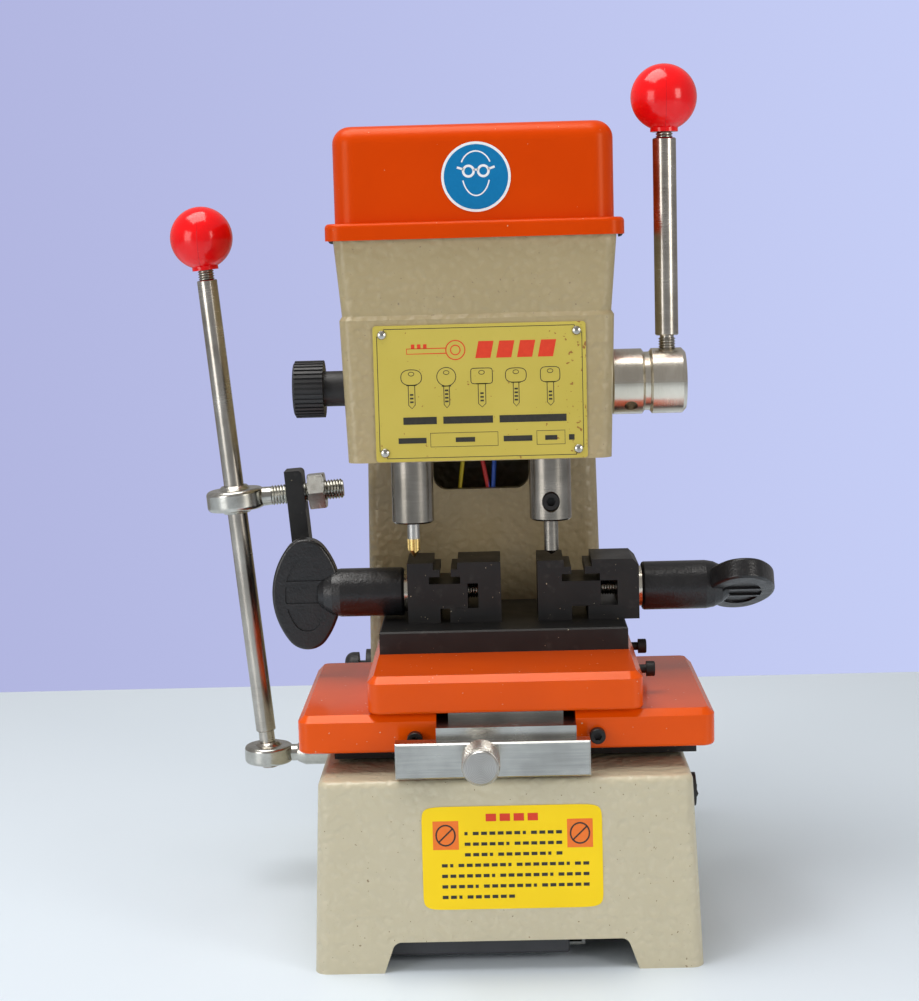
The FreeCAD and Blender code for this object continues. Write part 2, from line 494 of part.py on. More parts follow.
pin_bore = rod(PIN_R, (TRACER_X, SPINDLE_Y, SPINDLE_BOTTOM - 1),
               (TRACER_X, SPINDLE_Y, SPINDLE_BOTTOM + PIN_DEPTH))
keep("tracer_spindle", tracer.cut(group([set_hole, set_mouth, pin_bore])))
keep("tracer_set_screw", set_screw)
keep("tracer_pin", turned([(0, 0.35), (2.1, PIN_R), (SPINDLE_BOTTOM + PIN_DEPTH - TIP_Z, PIN_R)],
                          (TRACER_X, SPINDLE_Y, TIP_Z), Z_AXIS))


def coil_spring(x):
    helix = Part.makeHelix(4.4, QUILL_BOTTOM - floor_z - 1.6, 6.2)
    helix.translate(Vector(x, SPINDLE_Y, floor_z + 0.8))
    ring = Part.Wire(Part.makeCircle(0.7, Vector(x + 6.2, SPINDLE_Y, floor_z + 0.8), Y_AXIS))
    return Part.Wire(helix).makePipeShell([ring], True, True)


keep("quill_springs", group([coil_spring(x) for x in POST_X]))

# ---- cutter spindle, which turns in the carrier ----------------------------------------------------------
SQUARE = 5.0
cutter = turned([(0, SPINDLE_R - 0.8), (0.8, SPINDLE_R), (QUILL_TOP - SPINDLE_BOTTOM, SPINDLE_R)],
                (CUTTER_X, SPINDLE_Y, SPINDLE_BOTTOM), Z_AXIS)
drive_square = box((CUTTER_X - SQUARE, CUTTER_X + SQUARE), (SPINDLE_Y - SQUARE, SPINDLE_Y + SQUARE),
                   (QUILL_TOP, 353))
SHANK_R, SHANK_DEPTH = 3.0, 20.0
cutter_bore = rod(SHANK_R, (CUTTER_X, SPINDLE_Y, SPINDLE_BOTTOM - 1),
                  (CUTTER_X, SPINDLE_Y, SPINDLE_BOTTOM + SHANK_DEPTH))
keep("cutter_spindle", join([cutter, drive_square]).cut(cutter_bore))
FLUTE_TOP = 183.0
bit = turned([(0, 0.3), (3.6, SHANK_R), (SPINDLE_BOTTOM + SHANK_DEPTH - TIP_Z, SHANK_R)],
             (CUTTER_X, SPINDLE_Y, TIP_Z), Z_AXIS)
flute_x = CUTTER_X + SHANK_R + 0.6
for quarter in range(4):
    flute = rod(1.5, (flute_x, SPINDLE_Y, TIP_Z - 1), (flute_x, SPINDLE_Y, FLUTE_TOP))
    flute.rotate(Vector(CUTTER_X, SPINDLE_Y, 0), Z_AXIS, 90 * quarter + 20)
    bit = bit.cut(flute)
keep("cutter_bit", bit)

# ---- spindle pulley on a square drive, and the flat belt -------------------------------------------------
sleeve = rod(HUB_SLEEVE_R, (CUTTER_X, SPINDLE_Y, roof_z), (CUTTER_X, SPINDLE_Y, PULLEY_BOTTOM))
square_hole = box((CUTTER_X - SQUARE - RUN, CUTTER_X + SQUARE + RUN),
                  (SPINDLE_Y - SQUARE - RUN, SPINDLE_Y + SQUARE + RUN), (roof_z - 1, 360))
keep("spindle_pulley", join([pulley(CUTTER_X, SPINDLE_Y, SPINDLE_PULLEY_R), sleeve]).cut(square_hole))


def belt_loop(gap, z):
    """The band round both pulleys at one gap from their seats, from one height to another."""
    front, rear = Vector(CUTTER_X, SPINDLE_Y, z[0]), Vector(HEAD_X, MOTOR_Y, z[0])
    big, small = SPINDLE_PULLEY_R + gap, MOTOR_PULLEY_R + gap
    line = rear - front
    lean = math.asin((big - small) / line.Length)
    heading = math.atan2(line.y, line.x)
    right, left = heading - math.pi / 2 + lean, heading + math.pi / 2 - lean

    def at(centre, radius, angle):
        return centre + Vector(math.cos(angle), math.sin(angle), 0) * radius

    edges = [Part.makeLine(at(front, big, right), at(rear, small, right)),
             Part.Arc(at(rear, small, right), at(rear, small, heading), at(rear, small, left)).toShape(),
             Part.makeLine(at(rear, small, left), at(front, big, left)),
             Part.Arc(at(front, big, left), at(front, big, heading + math.pi),
                      at(front, big, right)).toShape()]
    return Part.Face(Part.Wire(edges)).extrude(Vector(0, 0, z[1] - z[0]))


BELT_Z = (PULLEY_BOTTOM + 2.4, PULLEY_BOTTOM + PULLEY_HEIGHT - 2.4)
keep("drive_belt", belt_loop(TOUCH + 1.6, BELT_Z).cut(belt_loop(TOUCH, (BELT_Z[0] - 1, BELT_Z[1] + 1))))

# ---- feed: hub with pinion, hand lever and knob; quill lock knob on the other side -----------------------
def involute(base_r, radius, turn):
    """The involute point at a radius, turned so that the curve starts at angle turn."""
    roll = math.sqrt(max((radius / base_r) ** 2 - 1, 0))
    angle = turn + roll - math.atan(roll)
    return radius * math.cos(angle), radius * math.sin(angle)


def pinion_solid():
    base_r = pitch_r * math.cos(math.radians(20))
    outer, root = pitch_r + FEED_MODULE, pitch_r - 1.25 * FEED_MODULE
    backlash = 0.012
    roll = math.sqrt((pitch_r / base_r) ** 2 - 1)
    half = math.pi / (2 * FEED_TEETH) + (roll - math.atan(roll)) - backlash
    radii = [max(base_r, root) + (outer - base_r) * i / 5 for i in range(6)]
    outline = []
    for tooth in range(FEED_TEETH):
        centre = 2 * math.pi * (tooth + 0.5) / FEED_TEETH
        rising = [(root * math.cos(centre - half), root * math.sin(centre - half))]
        for r in radii:
            x, y = involute(base_r, r, 0.0)
            spin = centre - half
            rising.append((x * math.cos(spin) - y * math.sin(spin), x * math.sin(spin) + y * math.cos(spin)))
        mirror = [(px * math.cos(2 * centre) + py * math.sin(2 * centre),
                   px * math.sin(2 * centre) - py * math.cos(2 * centre)) for px, py in rising]
        outline += rising + mirror[::-1]
    points = [Vector(RACK_X[0], FEED_Y + a, FEED_Z + b) for a, b in outline]
    return prism(points, Vector(RACK_X[1] - RACK_X[0], 0, 0))


hub = turned([(RACK_X[0] - 0.5, FEED_SHAFT_R), (HUB_START, FEED_SHAFT_R), (HUB_START, HUB_R - 0.6),
              (HUB_START + 0.6, HUB_R), (69.4, HUB_R), (70.6, HUB_R - 1.6), (73.0, HUB_R - 1.6),
              (74.2, HUB_R), (HUB_END - 1.8, HUB_R), (HUB_END, HUB_R - 1.9)], (0, FEED_Y, FEED_Z), X_AXIS)
NECK_R = 4.0
LEVER_FOOT, LEVER_HEAD = FEED_Z + HUB_R + 6.0, 369.7
lever_neck_hole = rod(NECK_R, (FEED_LEVER_X, FEED_Y, FEED_Z + 4), (FEED_LEVER_X, FEED_Y, LEVER_FOOT))
tommy_hole = rod(3.1, (63.7, FEED_Y, FEED_Z), (63.7, FEED_Y - 20, FEED_Z - 20))
tommy_hole = tommy_hole.cut(rod(7.5, (50, FEED_Y, FEED_Z), (80, FEED_Y, FEED_Z)))
hub = join([hub, pinion_solid()]).cut(group([lever_neck_hole, tommy_hole]))
keep("feed_hub", hub)


def lever_with_necks(foot, top, radius, axis, reach_in, reach_out):
    """A round bar from foot to top with a thinner threaded neck beyond each end."""
    axis = Vector(*axis).normalize()
    body = turned([(0, radius - 0.5), (0.5, radius), ((top - foot).Length - 0.5, radius),
                   ((top - foot).Length, radius - 0.5)], foot, axis)
    low = thread(NECK_R, 1.25, foot - axis * reach_in, foot)
    high = thread(NECK_R, 1.25, top, top + axis * reach_out)
    return join([body, low, high])


feed_foot = Vector(FEED_LEVER_X, FEED_Y, LEVER_FOOT)
feed_top = Vector(FEED_LEVER_X, FEED_Y, LEVER_HEAD)
keep("feed_lever", lever_with_necks(feed_foot, feed_top, FEED_LEVER_R, Z_AXIS, 16, 14))


def ball_knob(centre, axis):
    """A ball with a small flat collar on its underside and a blind hole for the lever's neck."""
    axis = Vector(*axis).normalize()
    ball = Part.makeSphere(BALL_KNOB_R, centre)
    collar = rod(6.5, centre - axis * (BALL_KNOB_R + 0.4), centre - axis * (BALL_KNOB_R - 4))
    hole = rod(NECK_R, centre - axis * (BALL_KNOB_R + 2), centre - axis * 4)
    return join([ball, collar]).cut(hole)


FEED_KNOB = Vector(FEED_LEVER_X, FEED_Y, 388.4)
keep("feed_knob", ball_knob(FEED_KNOB, Z_AXIS))
KNOB_RIBS, KNOB_R = 36, 13.6
KNOB_END, KNOB_START, KNOB_COLLAR_START = -96.0, -81.5, -71.0
knob_body = rod(KNOB_R - 0.7, (KNOB_END, FEED_Y, FEED_Z), (KNOB_START, FEED_Y, FEED_Z))
knob_body = knob_body.makeFillet(1.0, edges_where(knob_body, lambda c: c.x < KNOB_END + 0.1))
ribs = []
for i in range(KNOB_RIBS):
    rib = box((KNOB_END + 0.8, KNOB_START), (FEED_Y - 0.65, FEED_Y + 0.65),
              (FEED_Z + KNOB_R - 2, FEED_Z + KNOB_R))
    rib.rotate(Vector(0, FEED_Y, FEED_Z), X_AXIS, 360 * i / KNOB_RIBS)
    ribs.append(rib)
knob_collar = rod(8.4, (KNOB_START, FEED_Y, FEED_Z), (KNOB_COLLAR_START, FEED_Y, FEED_Z))
lock_stem = rod(LOCK_R, (KNOB_COLLAR_START, FEED_Y, FEED_Z), (HEAD_X - 52 - TOUCH, FEED_Y, FEED_Z))
keep("lock_knob", join([knob_body, knob_collar, lock_stem] + ribs))

# ---- X slide: rail on the base, lower carriage with its gibs ---------------------------------------------
def dovetail(half_low, half_high, z, x):
    outline = [Vector(x[0], RAIL_Y - half_low, z[0]), Vector(x[0], RAIL_Y + half_low, z[0]),
               Vector(x[0], RAIL_Y + half_high, z[1]), Vector(x[0], RAIL_Y - half_high, z[1])]
    return prism(outline, Vector(x[1] - x[0], 0, 0))


rail = dovetail(20, 26, (BASE_HEIGHT, RAIL_TOP), (-80, 82))
counterbores = group([rod(5.4, (x, RAIL_Y, RAIL_BOLT_SEAT), (x, RAIL_Y, RAIL_TOP + 1)) for x in RAIL_BOLT_XS])
keep("x_rail", rail.cut(frame_bolts).cut(counterbores))
GIB_X = (-78.0, 88.0)
gib_bars = box(GIB_X, (RAIL_Y - 40, RAIL_Y + 40), (89.6, LOWER_BOTTOM)).cut(
    dovetail(20.25, 26.25, (BASE_HEIGHT, RAIL_TOP + 0.2), (-90, 100))).cut(
    box((-100, 100), (RAIL_Y - 26.25, RAIL_Y + 26.25), (RAIL_TOP, LOWER_BOTTOM + 1)))
keep("x_gibs", gib_bars)


def bevelled_slab(half, front, back, z, bevel):
    slab = rounded_block((TABLE_X - half, TABLE_X + half), (front, back), z, 6)
    slab = slab.makeChamfer(bevel, edges_where(slab, lambda c: c.z > z[1] - 0.1))
    return slab.makeFillet(1.5, edges_where(slab, lambda c: c.z < z[0] + 0.1))


lower = bevelled_slab(LOWER_HALF, LOWER_FRONT, LOWER_BACK, (LOWER_BOTTOM, LOWER_TOP), 3)
tongue_way = box((TABLE_X - TONGUE_HALF - 0.1, TABLE_X + TONGUE_HALF + 0.1), (LOWER_FRONT - 5, LOWER_BACK + 5),
                 (TONGUE_BOTTOM - 0.2, LOWER_TOP + 5))
FRONT_SCREW_X, FRONT_SCREW_Z = 41.0, 103.0
carriage_screws = group([cap_screw(4, 10, (TABLE_X + side * FRONT_SCREW_X, LOWER_FRONT, FRONT_SCREW_Z), Y_AXIS)
                         for side in (-1, 1)])
keep("lower_carriage", lower.cut(group([tongue_way, carriage_screws])))
keep("carriage_screws", carriage_screws)

# ---- Y slide: upper carriage on its tongue, stop bar and thumb screw -------------------------------------
gib_screws = group([cap_screw(4, 12, (66.6, y, 125.5), -X_AXIS) for y in (-20.0, -72.0)])
upper = bevelled_slab(UPPER_HALF, UPPER_FRONT, UPPER_BACK, (UPPER_BOTTOM, UPPER_TOP), 3)
keep("upper_carriage", upper.cut(gib_screws))
keep("gib_screws", gib_screws)
tongue = box((TABLE_X - TONGUE_HALF, TABLE_X + TONGUE_HALF), (-116, 9), (TONGUE_BOTTOM, TONGUE_TOP))
neck = box((TABLE_X - 26, TABLE_X + 26), (-100, 9), (TONGUE_TOP, UPPER_BOTTOM))
THUMB_X, THUMB_Z, THUMB_STEM_R = -10.3, 99.0, 3.0
STOP_FRONT, STOP_BACK = -124.0, -116.0
keep("y_slide_tongue", join([tongue, neck]).cut(rod(THUMB_STEM_R + 0.4, (THUMB_X, -120, THUMB_Z),
                                                     (THUMB_X, -111, THUMB_Z))))
stop_bar = box((-48.3, 38.0), (STOP_FRONT, STOP_BACK), (89.2, 105.2))
stop_bar = stop_bar.makeChamfer(0.7, edges_where(stop_bar, lambda c: c.y < STOP_FRONT + 0.1))
keep("stop_bar", stop_bar.cut(rod(THUMB_STEM_R + RUN, (THUMB_X, -130, THUMB_Z), (THUMB_X, -110, THUMB_Z))))
THUMB_R = 7.8
thumb_seat = STOP_FRONT - TOUCH
thumb_head = rod(THUMB_R, (THUMB_X, thumb_seat - 19.7, THUMB_Z), (THUMB_X, thumb_seat, THUMB_Z))
thumb_head = thumb_head.makeChamfer(0.8, thumb_head.Edges[:1] + thumb_head.Edges[2:])
thumb_stem = rod(THUMB_STEM_R, (THUMB_X, thumb_seat, THUMB_Z), (THUMB_X, STOP_BACK + 4, THUMB_Z))
keep("thumb_screw", join([thumb_head, thumb_stem]))

# ---- clamp bar and the two key clamps --------------------------------------------------------------------
bar = box((TABLE_X - BAR_HALF, TABLE_X + BAR_HALF), (BAR_FRONT, BAR_BACK), (UPPER_TOP, BAR_TOP))
bar = bar.makeChamfer(0.8, edges_where(bar, lambda c: c.z > BAR_TOP - 0.1))
keep("clamp_bar", bar)

GUIDE_Z = (149.0, 161.0)
SEAT_Z, SLOT_TOP, STEP_Z = 161.0, 164.5, 168.0
GUIDE_Y = (JAW_FRONT, JAW_BACK)


def jaw_block(outline):
    """A stepped jaw: an outline in X and Z carried from the front of the clamp to its back."""
    return prism([Vector(x, JAW_FRONT, z) for x, z in outline], Vector(0, JAW_BACK - JAW_FRONT, 0))


def guided_jaw(outer, face, tongue_end, lip, step):
    """The jaw with the guide tongue: a block from outer to face with a tongue on to tongue_end."""
    return jaw_block([(outer, BAR_TOP), (face, BAR_TOP), (face, GUIDE_Z[0]), (tongue_end, GUIDE_Z[0]),
                      (tongue_end, SEAT_Z), (face - lip, SEAT_Z), (face - lip, SLOT_TOP), (face, SLOT_TOP),
                      (face, STEP_Z), (face - step, STEP_Z), (face - step, JAW_TOP), (outer, JAW_TOP)])


def channel_jaw(face, outer, pocket_end, foot, lip, step):
    """The jaw with the channel: it straddles the guide tongue of the other jaw."""
    return jaw_block([(foot, BAR_TOP), (outer, BAR_TOP), (outer, JAW_TOP), (face + step, JAW_TOP),
                      (face + step, STEP_Z), (face, STEP_Z), (face, SLOT_TOP), (face + lip, SLOT_TOP),
                      (face + lip, SEAT_Z + RUN), (pocket_end, SEAT_Z + RUN),
                      (pocket_end, GUIDE_Z[0] - RUN), (foot, GUIDE_Z[0] - RUN)])


def screw_way(radius, x0, x1):
    return rod(radius, (x0, CLAMP_Y, CLAMP_Z), (x1, CLAMP_Y, CLAMP_Z))


LEFT_OUTER, LEFT_FACE, LEFT_TONGUE_END = -44.7, -29.1, -15.8
LEFT_FIXED_FACE, LEFT_END, LEFT_POCKET, LEFT_FOOT = -23.7, 0.3, -10.7, -24.4
left_way = screw_way(CLAMP_SCREW_R + RUN, -60, -1)
keep("left_jaw", guided_jaw(LEFT_OUTER, LEFT_FACE, LEFT_TONGUE_END, 5.2, 3.1).cut(left_way))
keep("left_clamp_body", channel_jaw(LEFT_FIXED_FACE, LEFT_END, LEFT_POCKET, LEFT_FOOT, 4.5, 3.2).cut(left_way))

RIGHT_OUTER, RIGHT_FACE, RIGHT_TONGUE_END = 18.0, 34.2, 48.2
RIGHT_MOVING_FACE, RIGHT_END, RIGHT_POCKET, RIGHT_FOOT = 40.7, 66.6, 56.3, 42.1
right_way = screw_way(CLAMP_SCREW_R + RUN, 21, 80)
keep("right_clamp_body", guided_jaw(RIGHT_OUTER, RIGHT_FACE, RIGHT_TONGUE_END, 4.6, 3.6).cut(right_way))
right_jaw = channel_jaw(RIGHT_MOVING_FACE, RIGHT_END, RIGHT_POCKET, RIGHT_FOOT, 7.2, 3.4).cut(right_way)
right_jaw = right_jaw.makeChamfer(3, edges_where(right_jaw, lambda c: c.z > JAW_TOP - 0.1 and c.x > 66.5))
keep("right_jaw", right_jaw)


def oval_outline(x, z, half_x, half_z, y):
    """An upright oval out of four arcs, two tight ones at the ends and two wide ones along the sides."""
    tight = 0.68 * half_x
    wide = ((half_z - tight) ** 2 + half_x ** 2 - tight ** 2) / (2 * (half_x - tight))
    lean = math.atan2(half_z - tight, wide - half_x)
    joint_x, joint_z = tight * math.cos(lean), half_z - tight + tight * math.sin(lean)
    right = [Vector(x + joint_x, y, z - joint_z), Vector(x + half_x, y, z),
             Vector(x + joint_x, y, z + joint_z)]
    top = [right[2], Vector(x, y, z + half_z), Vector(x - joint_x, y, z + joint_z)]
    left = [top[2], Vector(x - half_x, y, z), Vector(x - joint_x, y, z - joint_z)]
    bottom = [left[2], Vector(x, y, z - half_z), right[0]]
    return Part.Wire([Part.Arc(*points).toShape() for points in (right, top, left, bottom)])


def wing_handle(start, side, tilt):
    """A cast wing handle: a round sleeve that narrows into a flat oval disc; side is -1 left, 1 right."""
    sleeve_length = 31.0
    disc_x = start + side * 47.8
    profile = [(0, SLEEVE_R - 1.2), (0.4, SLEEVE_R - 0.4), (1.2, SLEEVE_R), (sleeve_length, SLEEVE_R),
               (sleeve_length + 4, SLEEVE_R - 0.7), (sleeve_length + 8, SLEEVE_R - 2.6),
               (sleeve_length + 11, SLEEVE_R - 5.0), (sleeve_length + 13.5, SLEEVE_R - 8.0)]
    sleeve_body = turned(profile, (start, CLAMP_Y, CLAMP_Z), (side, 0, 0))
    oval = oval_outline(disc_x, CLAMP_Z, WING_HALF_X, WING_HALF_Z, CLAMP_Y - WING_THICK / 2)
    disc = Part.Face(oval).extrude(Vector(0, WING_THICK, 0))
    disc = disc.makeFillet(1.5, edges_where(disc, lambda c: abs(abs(c.y - CLAMP_Y) - WING_THICK / 2) < 0.01))
    body = join([sleeve_body, disc])
    pocket_depth, rib_half = 1.0, 1.3
    face_y = CLAMP_Y - WING_THICK / 2
    pocket = Part.Face(oval_outline(disc_x, CLAMP_Z, 0.62 * WING_HALF_X, 0.66 * WING_HALF_Z, face_y - 1))
    pocket = pocket.extrude(Vector(0, 1 + pocket_depth, 0))
    for height in (-5.5, 5.5):
        pocket = pocket.cut(box((disc_x - WING_HALF_X, disc_x + WING_HALF_X), (face_y - 2, face_y + 2),
                                (CLAMP_Z + height - rib_half, CLAMP_Z + height + rib_half)))
    bore = rod(CLAMP_SCREW_R, (start - side, CLAMP_Y, CLAMP_Z), (start + side * 26, CLAMP_Y, CLAMP_Z))
    body = body.cut(group([pocket, bore]))
    body.rotate(Vector(0, CLAMP_Y, CLAMP_Z), X_AXIS, tilt)
    return body


def clamp_screw(collar, side, tip):
    """A clamp screw with its thrust collar against the jaw; its shank is held in the wing handle."""
    ring = rod(9.8, (collar, CLAMP_Y, CLAMP_Z), (collar + side * 1.9, CLAMP_Y, CLAMP_Z))
    shank_end = collar + side * 28.0
    plain = rod(CLAMP_SCREW_R, (collar, CLAMP_Y, CLAMP_Z), (shank_end, CLAMP_Y, CLAMP_Z))
    threaded = thread(CLAMP_SCREW_R, 1.25, (collar, CLAMP_Y, CLAMP_Z), (tip, CLAMP_Y, CLAMP_Z))
    return join([ring, plain, threaded])


LEFT_COLLAR, RIGHT_COLLAR = LEFT_OUTER - 0.1, RIGHT_END + 0.1
RIGHT_WING_TILT = 64.0
keep("left_clamp_screw", clamp_screw(LEFT_COLLAR, -1, -6.0))
keep("left_wing_handle", wing_handle(LEFT_COLLAR - 2.0, -1, 0.0))
keep("right_clamp_screw", clamp_screw(RIGHT_COLLAR, 1, 27.0))
keep("right_wing_handle", wing_handle(RIGHT_COLLAR + 2.0, 1, RIGHT_WING_TILT))

# ---- joystick lever that moves both carriages ------------------------------------------------------------
ARM_Y = (9.8, 25.2)
arm_lean = math.tan(math.radians(ARM_TILT))
tilt_axis = Vector(math.cos(math.radians(ARM_TILT)), 0, math.sin(math.radians(ARM_TILT)))


def along_shank(distance):
    return UPPER_BALL + tilt_axis * distance


ARM_SIDE, ARM_TOP = (-101.5, -92.7), 212.0
arm_height = ARM_TOP - BAR_TOP
arm_outline = [(ARM_SIDE[0], BAR_TOP), (-32, BAR_TOP), (-32, BAR_TOP + 9), (ARM_SIDE[1] - 0.5, BAR_TOP + 9),
               (ARM_SIDE[1] - arm_lean * arm_height, ARM_TOP + 0.6),
               (ARM_SIDE[0] - arm_lean * arm_height, ARM_TOP)]
arm = prism([Vector(x, ARM_Y[0], z) for x, z in arm_outline], Vector(0, ARM_Y[1] - ARM_Y[0], 0))
arm = arm.makeFillet(2.2, edges_where(arm, lambda c: c.z > ARM_TOP and abs(c.y - LEVER_Y) < 1))
SHANK_THREAD_R = 5.0
arm = arm.cut(rod(SHANK_THREAD_R + RUN, along_shank(20), along_shank(60)))
keep("carriage_arm", arm)


def rod_end_eye(centre, outer, height, ball_r, axis):
    """The eye of a rod end: a rounded ring with a spherical seat for its ball."""
    axis = Vector(*axis).normalize()
    ring = rod(outer, centre - axis * (height / 2), centre + axis * (height / 2))
    ring = ring.makeFillet(height * 0.22, ring.Edges[:1] + ring.Edges[2:])
    return ring, Part.makeSphere(ball_r + 0.08, centre)


def rod_end_ball(centre, ball_r, width, bore, axis):
    """A ball with flat ends and a hole through it."""
    axis = Vector(*axis).normalize()
    slab = rod(ball_r + 1, centre - axis * (width / 2), centre + axis * (width / 2))
    ball = Part.makeSphere(ball_r, centre).common(slab)
    return ball.cut(rod(bore, centre - axis * width, centre + axis * width)) if bore else ball


lever_axis = (UPPER_BALL - LOWER_BALL).normalize()
eye_axis = Vector(-tilt_axis.z, 0, tilt_axis.x)
UPPER_BALL_R, UPPER_BALL_WIDTH, UPPER_EYE_R = 9.5, 14.0, 14.5
eye, seat = rod_end_eye(UPPER_BALL, UPPER_EYE_R, 10.5, UPPER_BALL_R, eye_axis)
neck_piece = rod(5.0, along_shank(11), along_shank(18.5), 4.6)
shank = thread(SHANK_THREAD_R, 1.5, along_shank(18.5), along_shank(54.8))
keep("upper_rod_end", join([eye, neck_piece, shank]).cut(seat))
keep("upper_ball", rod_end_ball(UPPER_BALL, UPPER_BALL_R, UPPER_BALL_WIDTH, LEVER_R + 0.45, lever_axis))
NUT_AT, NUT_HEIGHT = 37.4, 8.4
nut = hexagon(17, along_shank(NUT_AT), tilt_axis * NUT_HEIGHT)
nut_round = turned([(0, 8.9), (0.7, 9.9), (NUT_HEIGHT - 0.7, 9.9), (NUT_HEIGHT, 8.9)],
                   along_shank(NUT_AT), tilt_axis)
nut = nut.common(nut_round).cut(rod(SHANK_THREAD_R + RUN, along_shank(30), along_shank(50)))
keep("rod_end_nut", nut)

LOWER_BALL_R, LOWER_EYE_R, LOWER_SHANK_R = 8.0, 12.3, 6.3
eye, seat = rod_end_eye(LOWER_BALL, LOWER_EYE_R, 9.0, LOWER_BALL_R, Z_AXIS)


def from_lower_ball(distance):
    return LOWER_BALL + X_AXIS * distance


neck_piece = rod(4.2, from_lower_ball(9.5), from_lower_ball(16.5))
female_shank = turned([(15, 4.6), (19, LOWER_SHANK_R), (35.4, LOWER_SHANK_R), (36, LOWER_SHANK_R - 0.6)],
                      LOWER_BALL, X_AXIS)
stud = rod(4, from_lower_ball(35), from_lower_ball(48))
keep("lower_rod_end", join([eye, neck_piece, female_shank, stud]).cut(seat))
lever_foot = LOWER_BALL + lever_axis * 12.0
lever_top = LOWER_BALL + lever_axis * 243.0
stub = rod(NECK_R, LOWER_BALL - lever_axis * 7.0, lever_foot)
lever_bar = turned([(0, LEVER_R - 0.4), (0.4, LEVER_R), (230.6, LEVER_R), (231, LEVER_R - 0.4)],
                   lever_foot, lever_axis)
lever_neck = thread(NECK_R, 1.25, lever_top, LOWER_BALL + lever_axis * (LEVER_KNOB_AT - 4))
lower_ball = rod_end_ball(LOWER_BALL, LOWER_BALL_R, 12.0, 0, lever_axis)
keep("joystick_lever", join([stub, lever_bar, lever_neck, lower_ball]))
keep("joystick_knob", ball_knob(LOWER_BALL + lever_axis * LEVER_KNOB_AT, lever_axis))

# ---- write one file per node -----------------------------------------------------------------------------
os.makedirs("parts", exist_ok=True)
for name, shape in nodes.items():
    solids = shape.Solids
    sound = all(solid.isValid() and solid.Volume > 0 for solid in solids)
    state = "ok" if sound and solids else "BAD"
    print(f"{name:22s} solids {len(solids):2d} volume {shape.Volume:10.1f} {state}")
    Part.makeCompound(solids).exportStep(f"parts/{name}.step")
print(len(nodes), "nodes")
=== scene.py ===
import math

import bpy
import numpy as np
from mathutils import Matrix, Vector


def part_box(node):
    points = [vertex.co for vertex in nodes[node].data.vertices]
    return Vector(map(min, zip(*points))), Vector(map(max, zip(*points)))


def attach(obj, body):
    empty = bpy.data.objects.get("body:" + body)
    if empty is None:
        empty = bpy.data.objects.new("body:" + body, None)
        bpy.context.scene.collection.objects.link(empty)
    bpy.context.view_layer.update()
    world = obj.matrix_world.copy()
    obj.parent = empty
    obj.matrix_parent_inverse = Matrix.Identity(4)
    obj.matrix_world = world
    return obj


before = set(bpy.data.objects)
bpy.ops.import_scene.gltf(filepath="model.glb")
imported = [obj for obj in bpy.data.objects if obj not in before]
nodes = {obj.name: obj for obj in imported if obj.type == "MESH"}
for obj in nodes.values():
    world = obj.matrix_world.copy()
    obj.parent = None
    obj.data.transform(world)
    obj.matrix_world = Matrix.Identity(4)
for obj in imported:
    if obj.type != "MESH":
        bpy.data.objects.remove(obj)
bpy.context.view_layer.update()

# ---- Studio: camera, lamps and table ---------------------------------------------------------------
# The machine stands on a pale table top that ends a little way behind it, in a lavender room.
# The camera stands in front of the key clamps, a little above them, and looks slightly down.
camera = bpy.data.objects.new("camera", bpy.data.cameras.new("camera"))
camera.data.sensor_fit = "VERTICAL"
camera.data.sensor_height = 36.0
camera.data.lens = 71.68
camera_yaw, camera_pitch, camera_roll = -0.0196, -0.129, -0.0267
camera.matrix_world = (Matrix.Translation((0.0, -0.9795, 0.3239))
                       @ Matrix.Rotation(-camera_yaw, 4, "Z")
                       @ Matrix.Rotation(math.pi / 2 + camera_pitch, 4, "X")
                       @ Matrix.Rotation(camera_roll, 4, "Z"))
bpy.context.scene.collection.objects.link(camera)
bpy.context.scene.camera = camera


def softbox(name, place, target, width, height, power, colour):
    """A rectangular area lamp at place that faces target. It lights the machine but isn't seen itself."""
    lamp = bpy.data.lights.new(name, "AREA")
    lamp.shape = "RECTANGLE"
    lamp.size = width
    lamp.size_y = height
    lamp.energy = power
    lamp.color = colour
    stand = bpy.data.objects.new(name, lamp)
    towards = Vector(target) - Vector(place)
    stand.matrix_world = Matrix.Translation(place) @ towards.to_track_quat("-Z", "Y").to_matrix().to_4x4()
    stand.visible_camera = False
    bpy.context.scene.collection.objects.link(stand)


softbox("overhead_lamp", (-0.3, -0.1, 1.4), (0.0, 0.0, 0.1), 0.9, 0.9, 15.0, (1.0, 0.98, 0.95))
softbox("left_lamp", (-1.2, -1.1, 0.5), (0.0, 0.0, 0.15), 0.7, 0.9, 8.0, (1.0, 0.98, 0.96))
softbox("right_lamp", (1.2, -1.1, 0.6), (0.0, 0.0, 0.15), 0.5, 0.8, 8.0, (1.0, 0.96, 0.90))

world = bpy.data.worlds.new("studio")
bpy.context.scene.world = world
bpy.context.scene.view_settings.view_transform = "Standard"


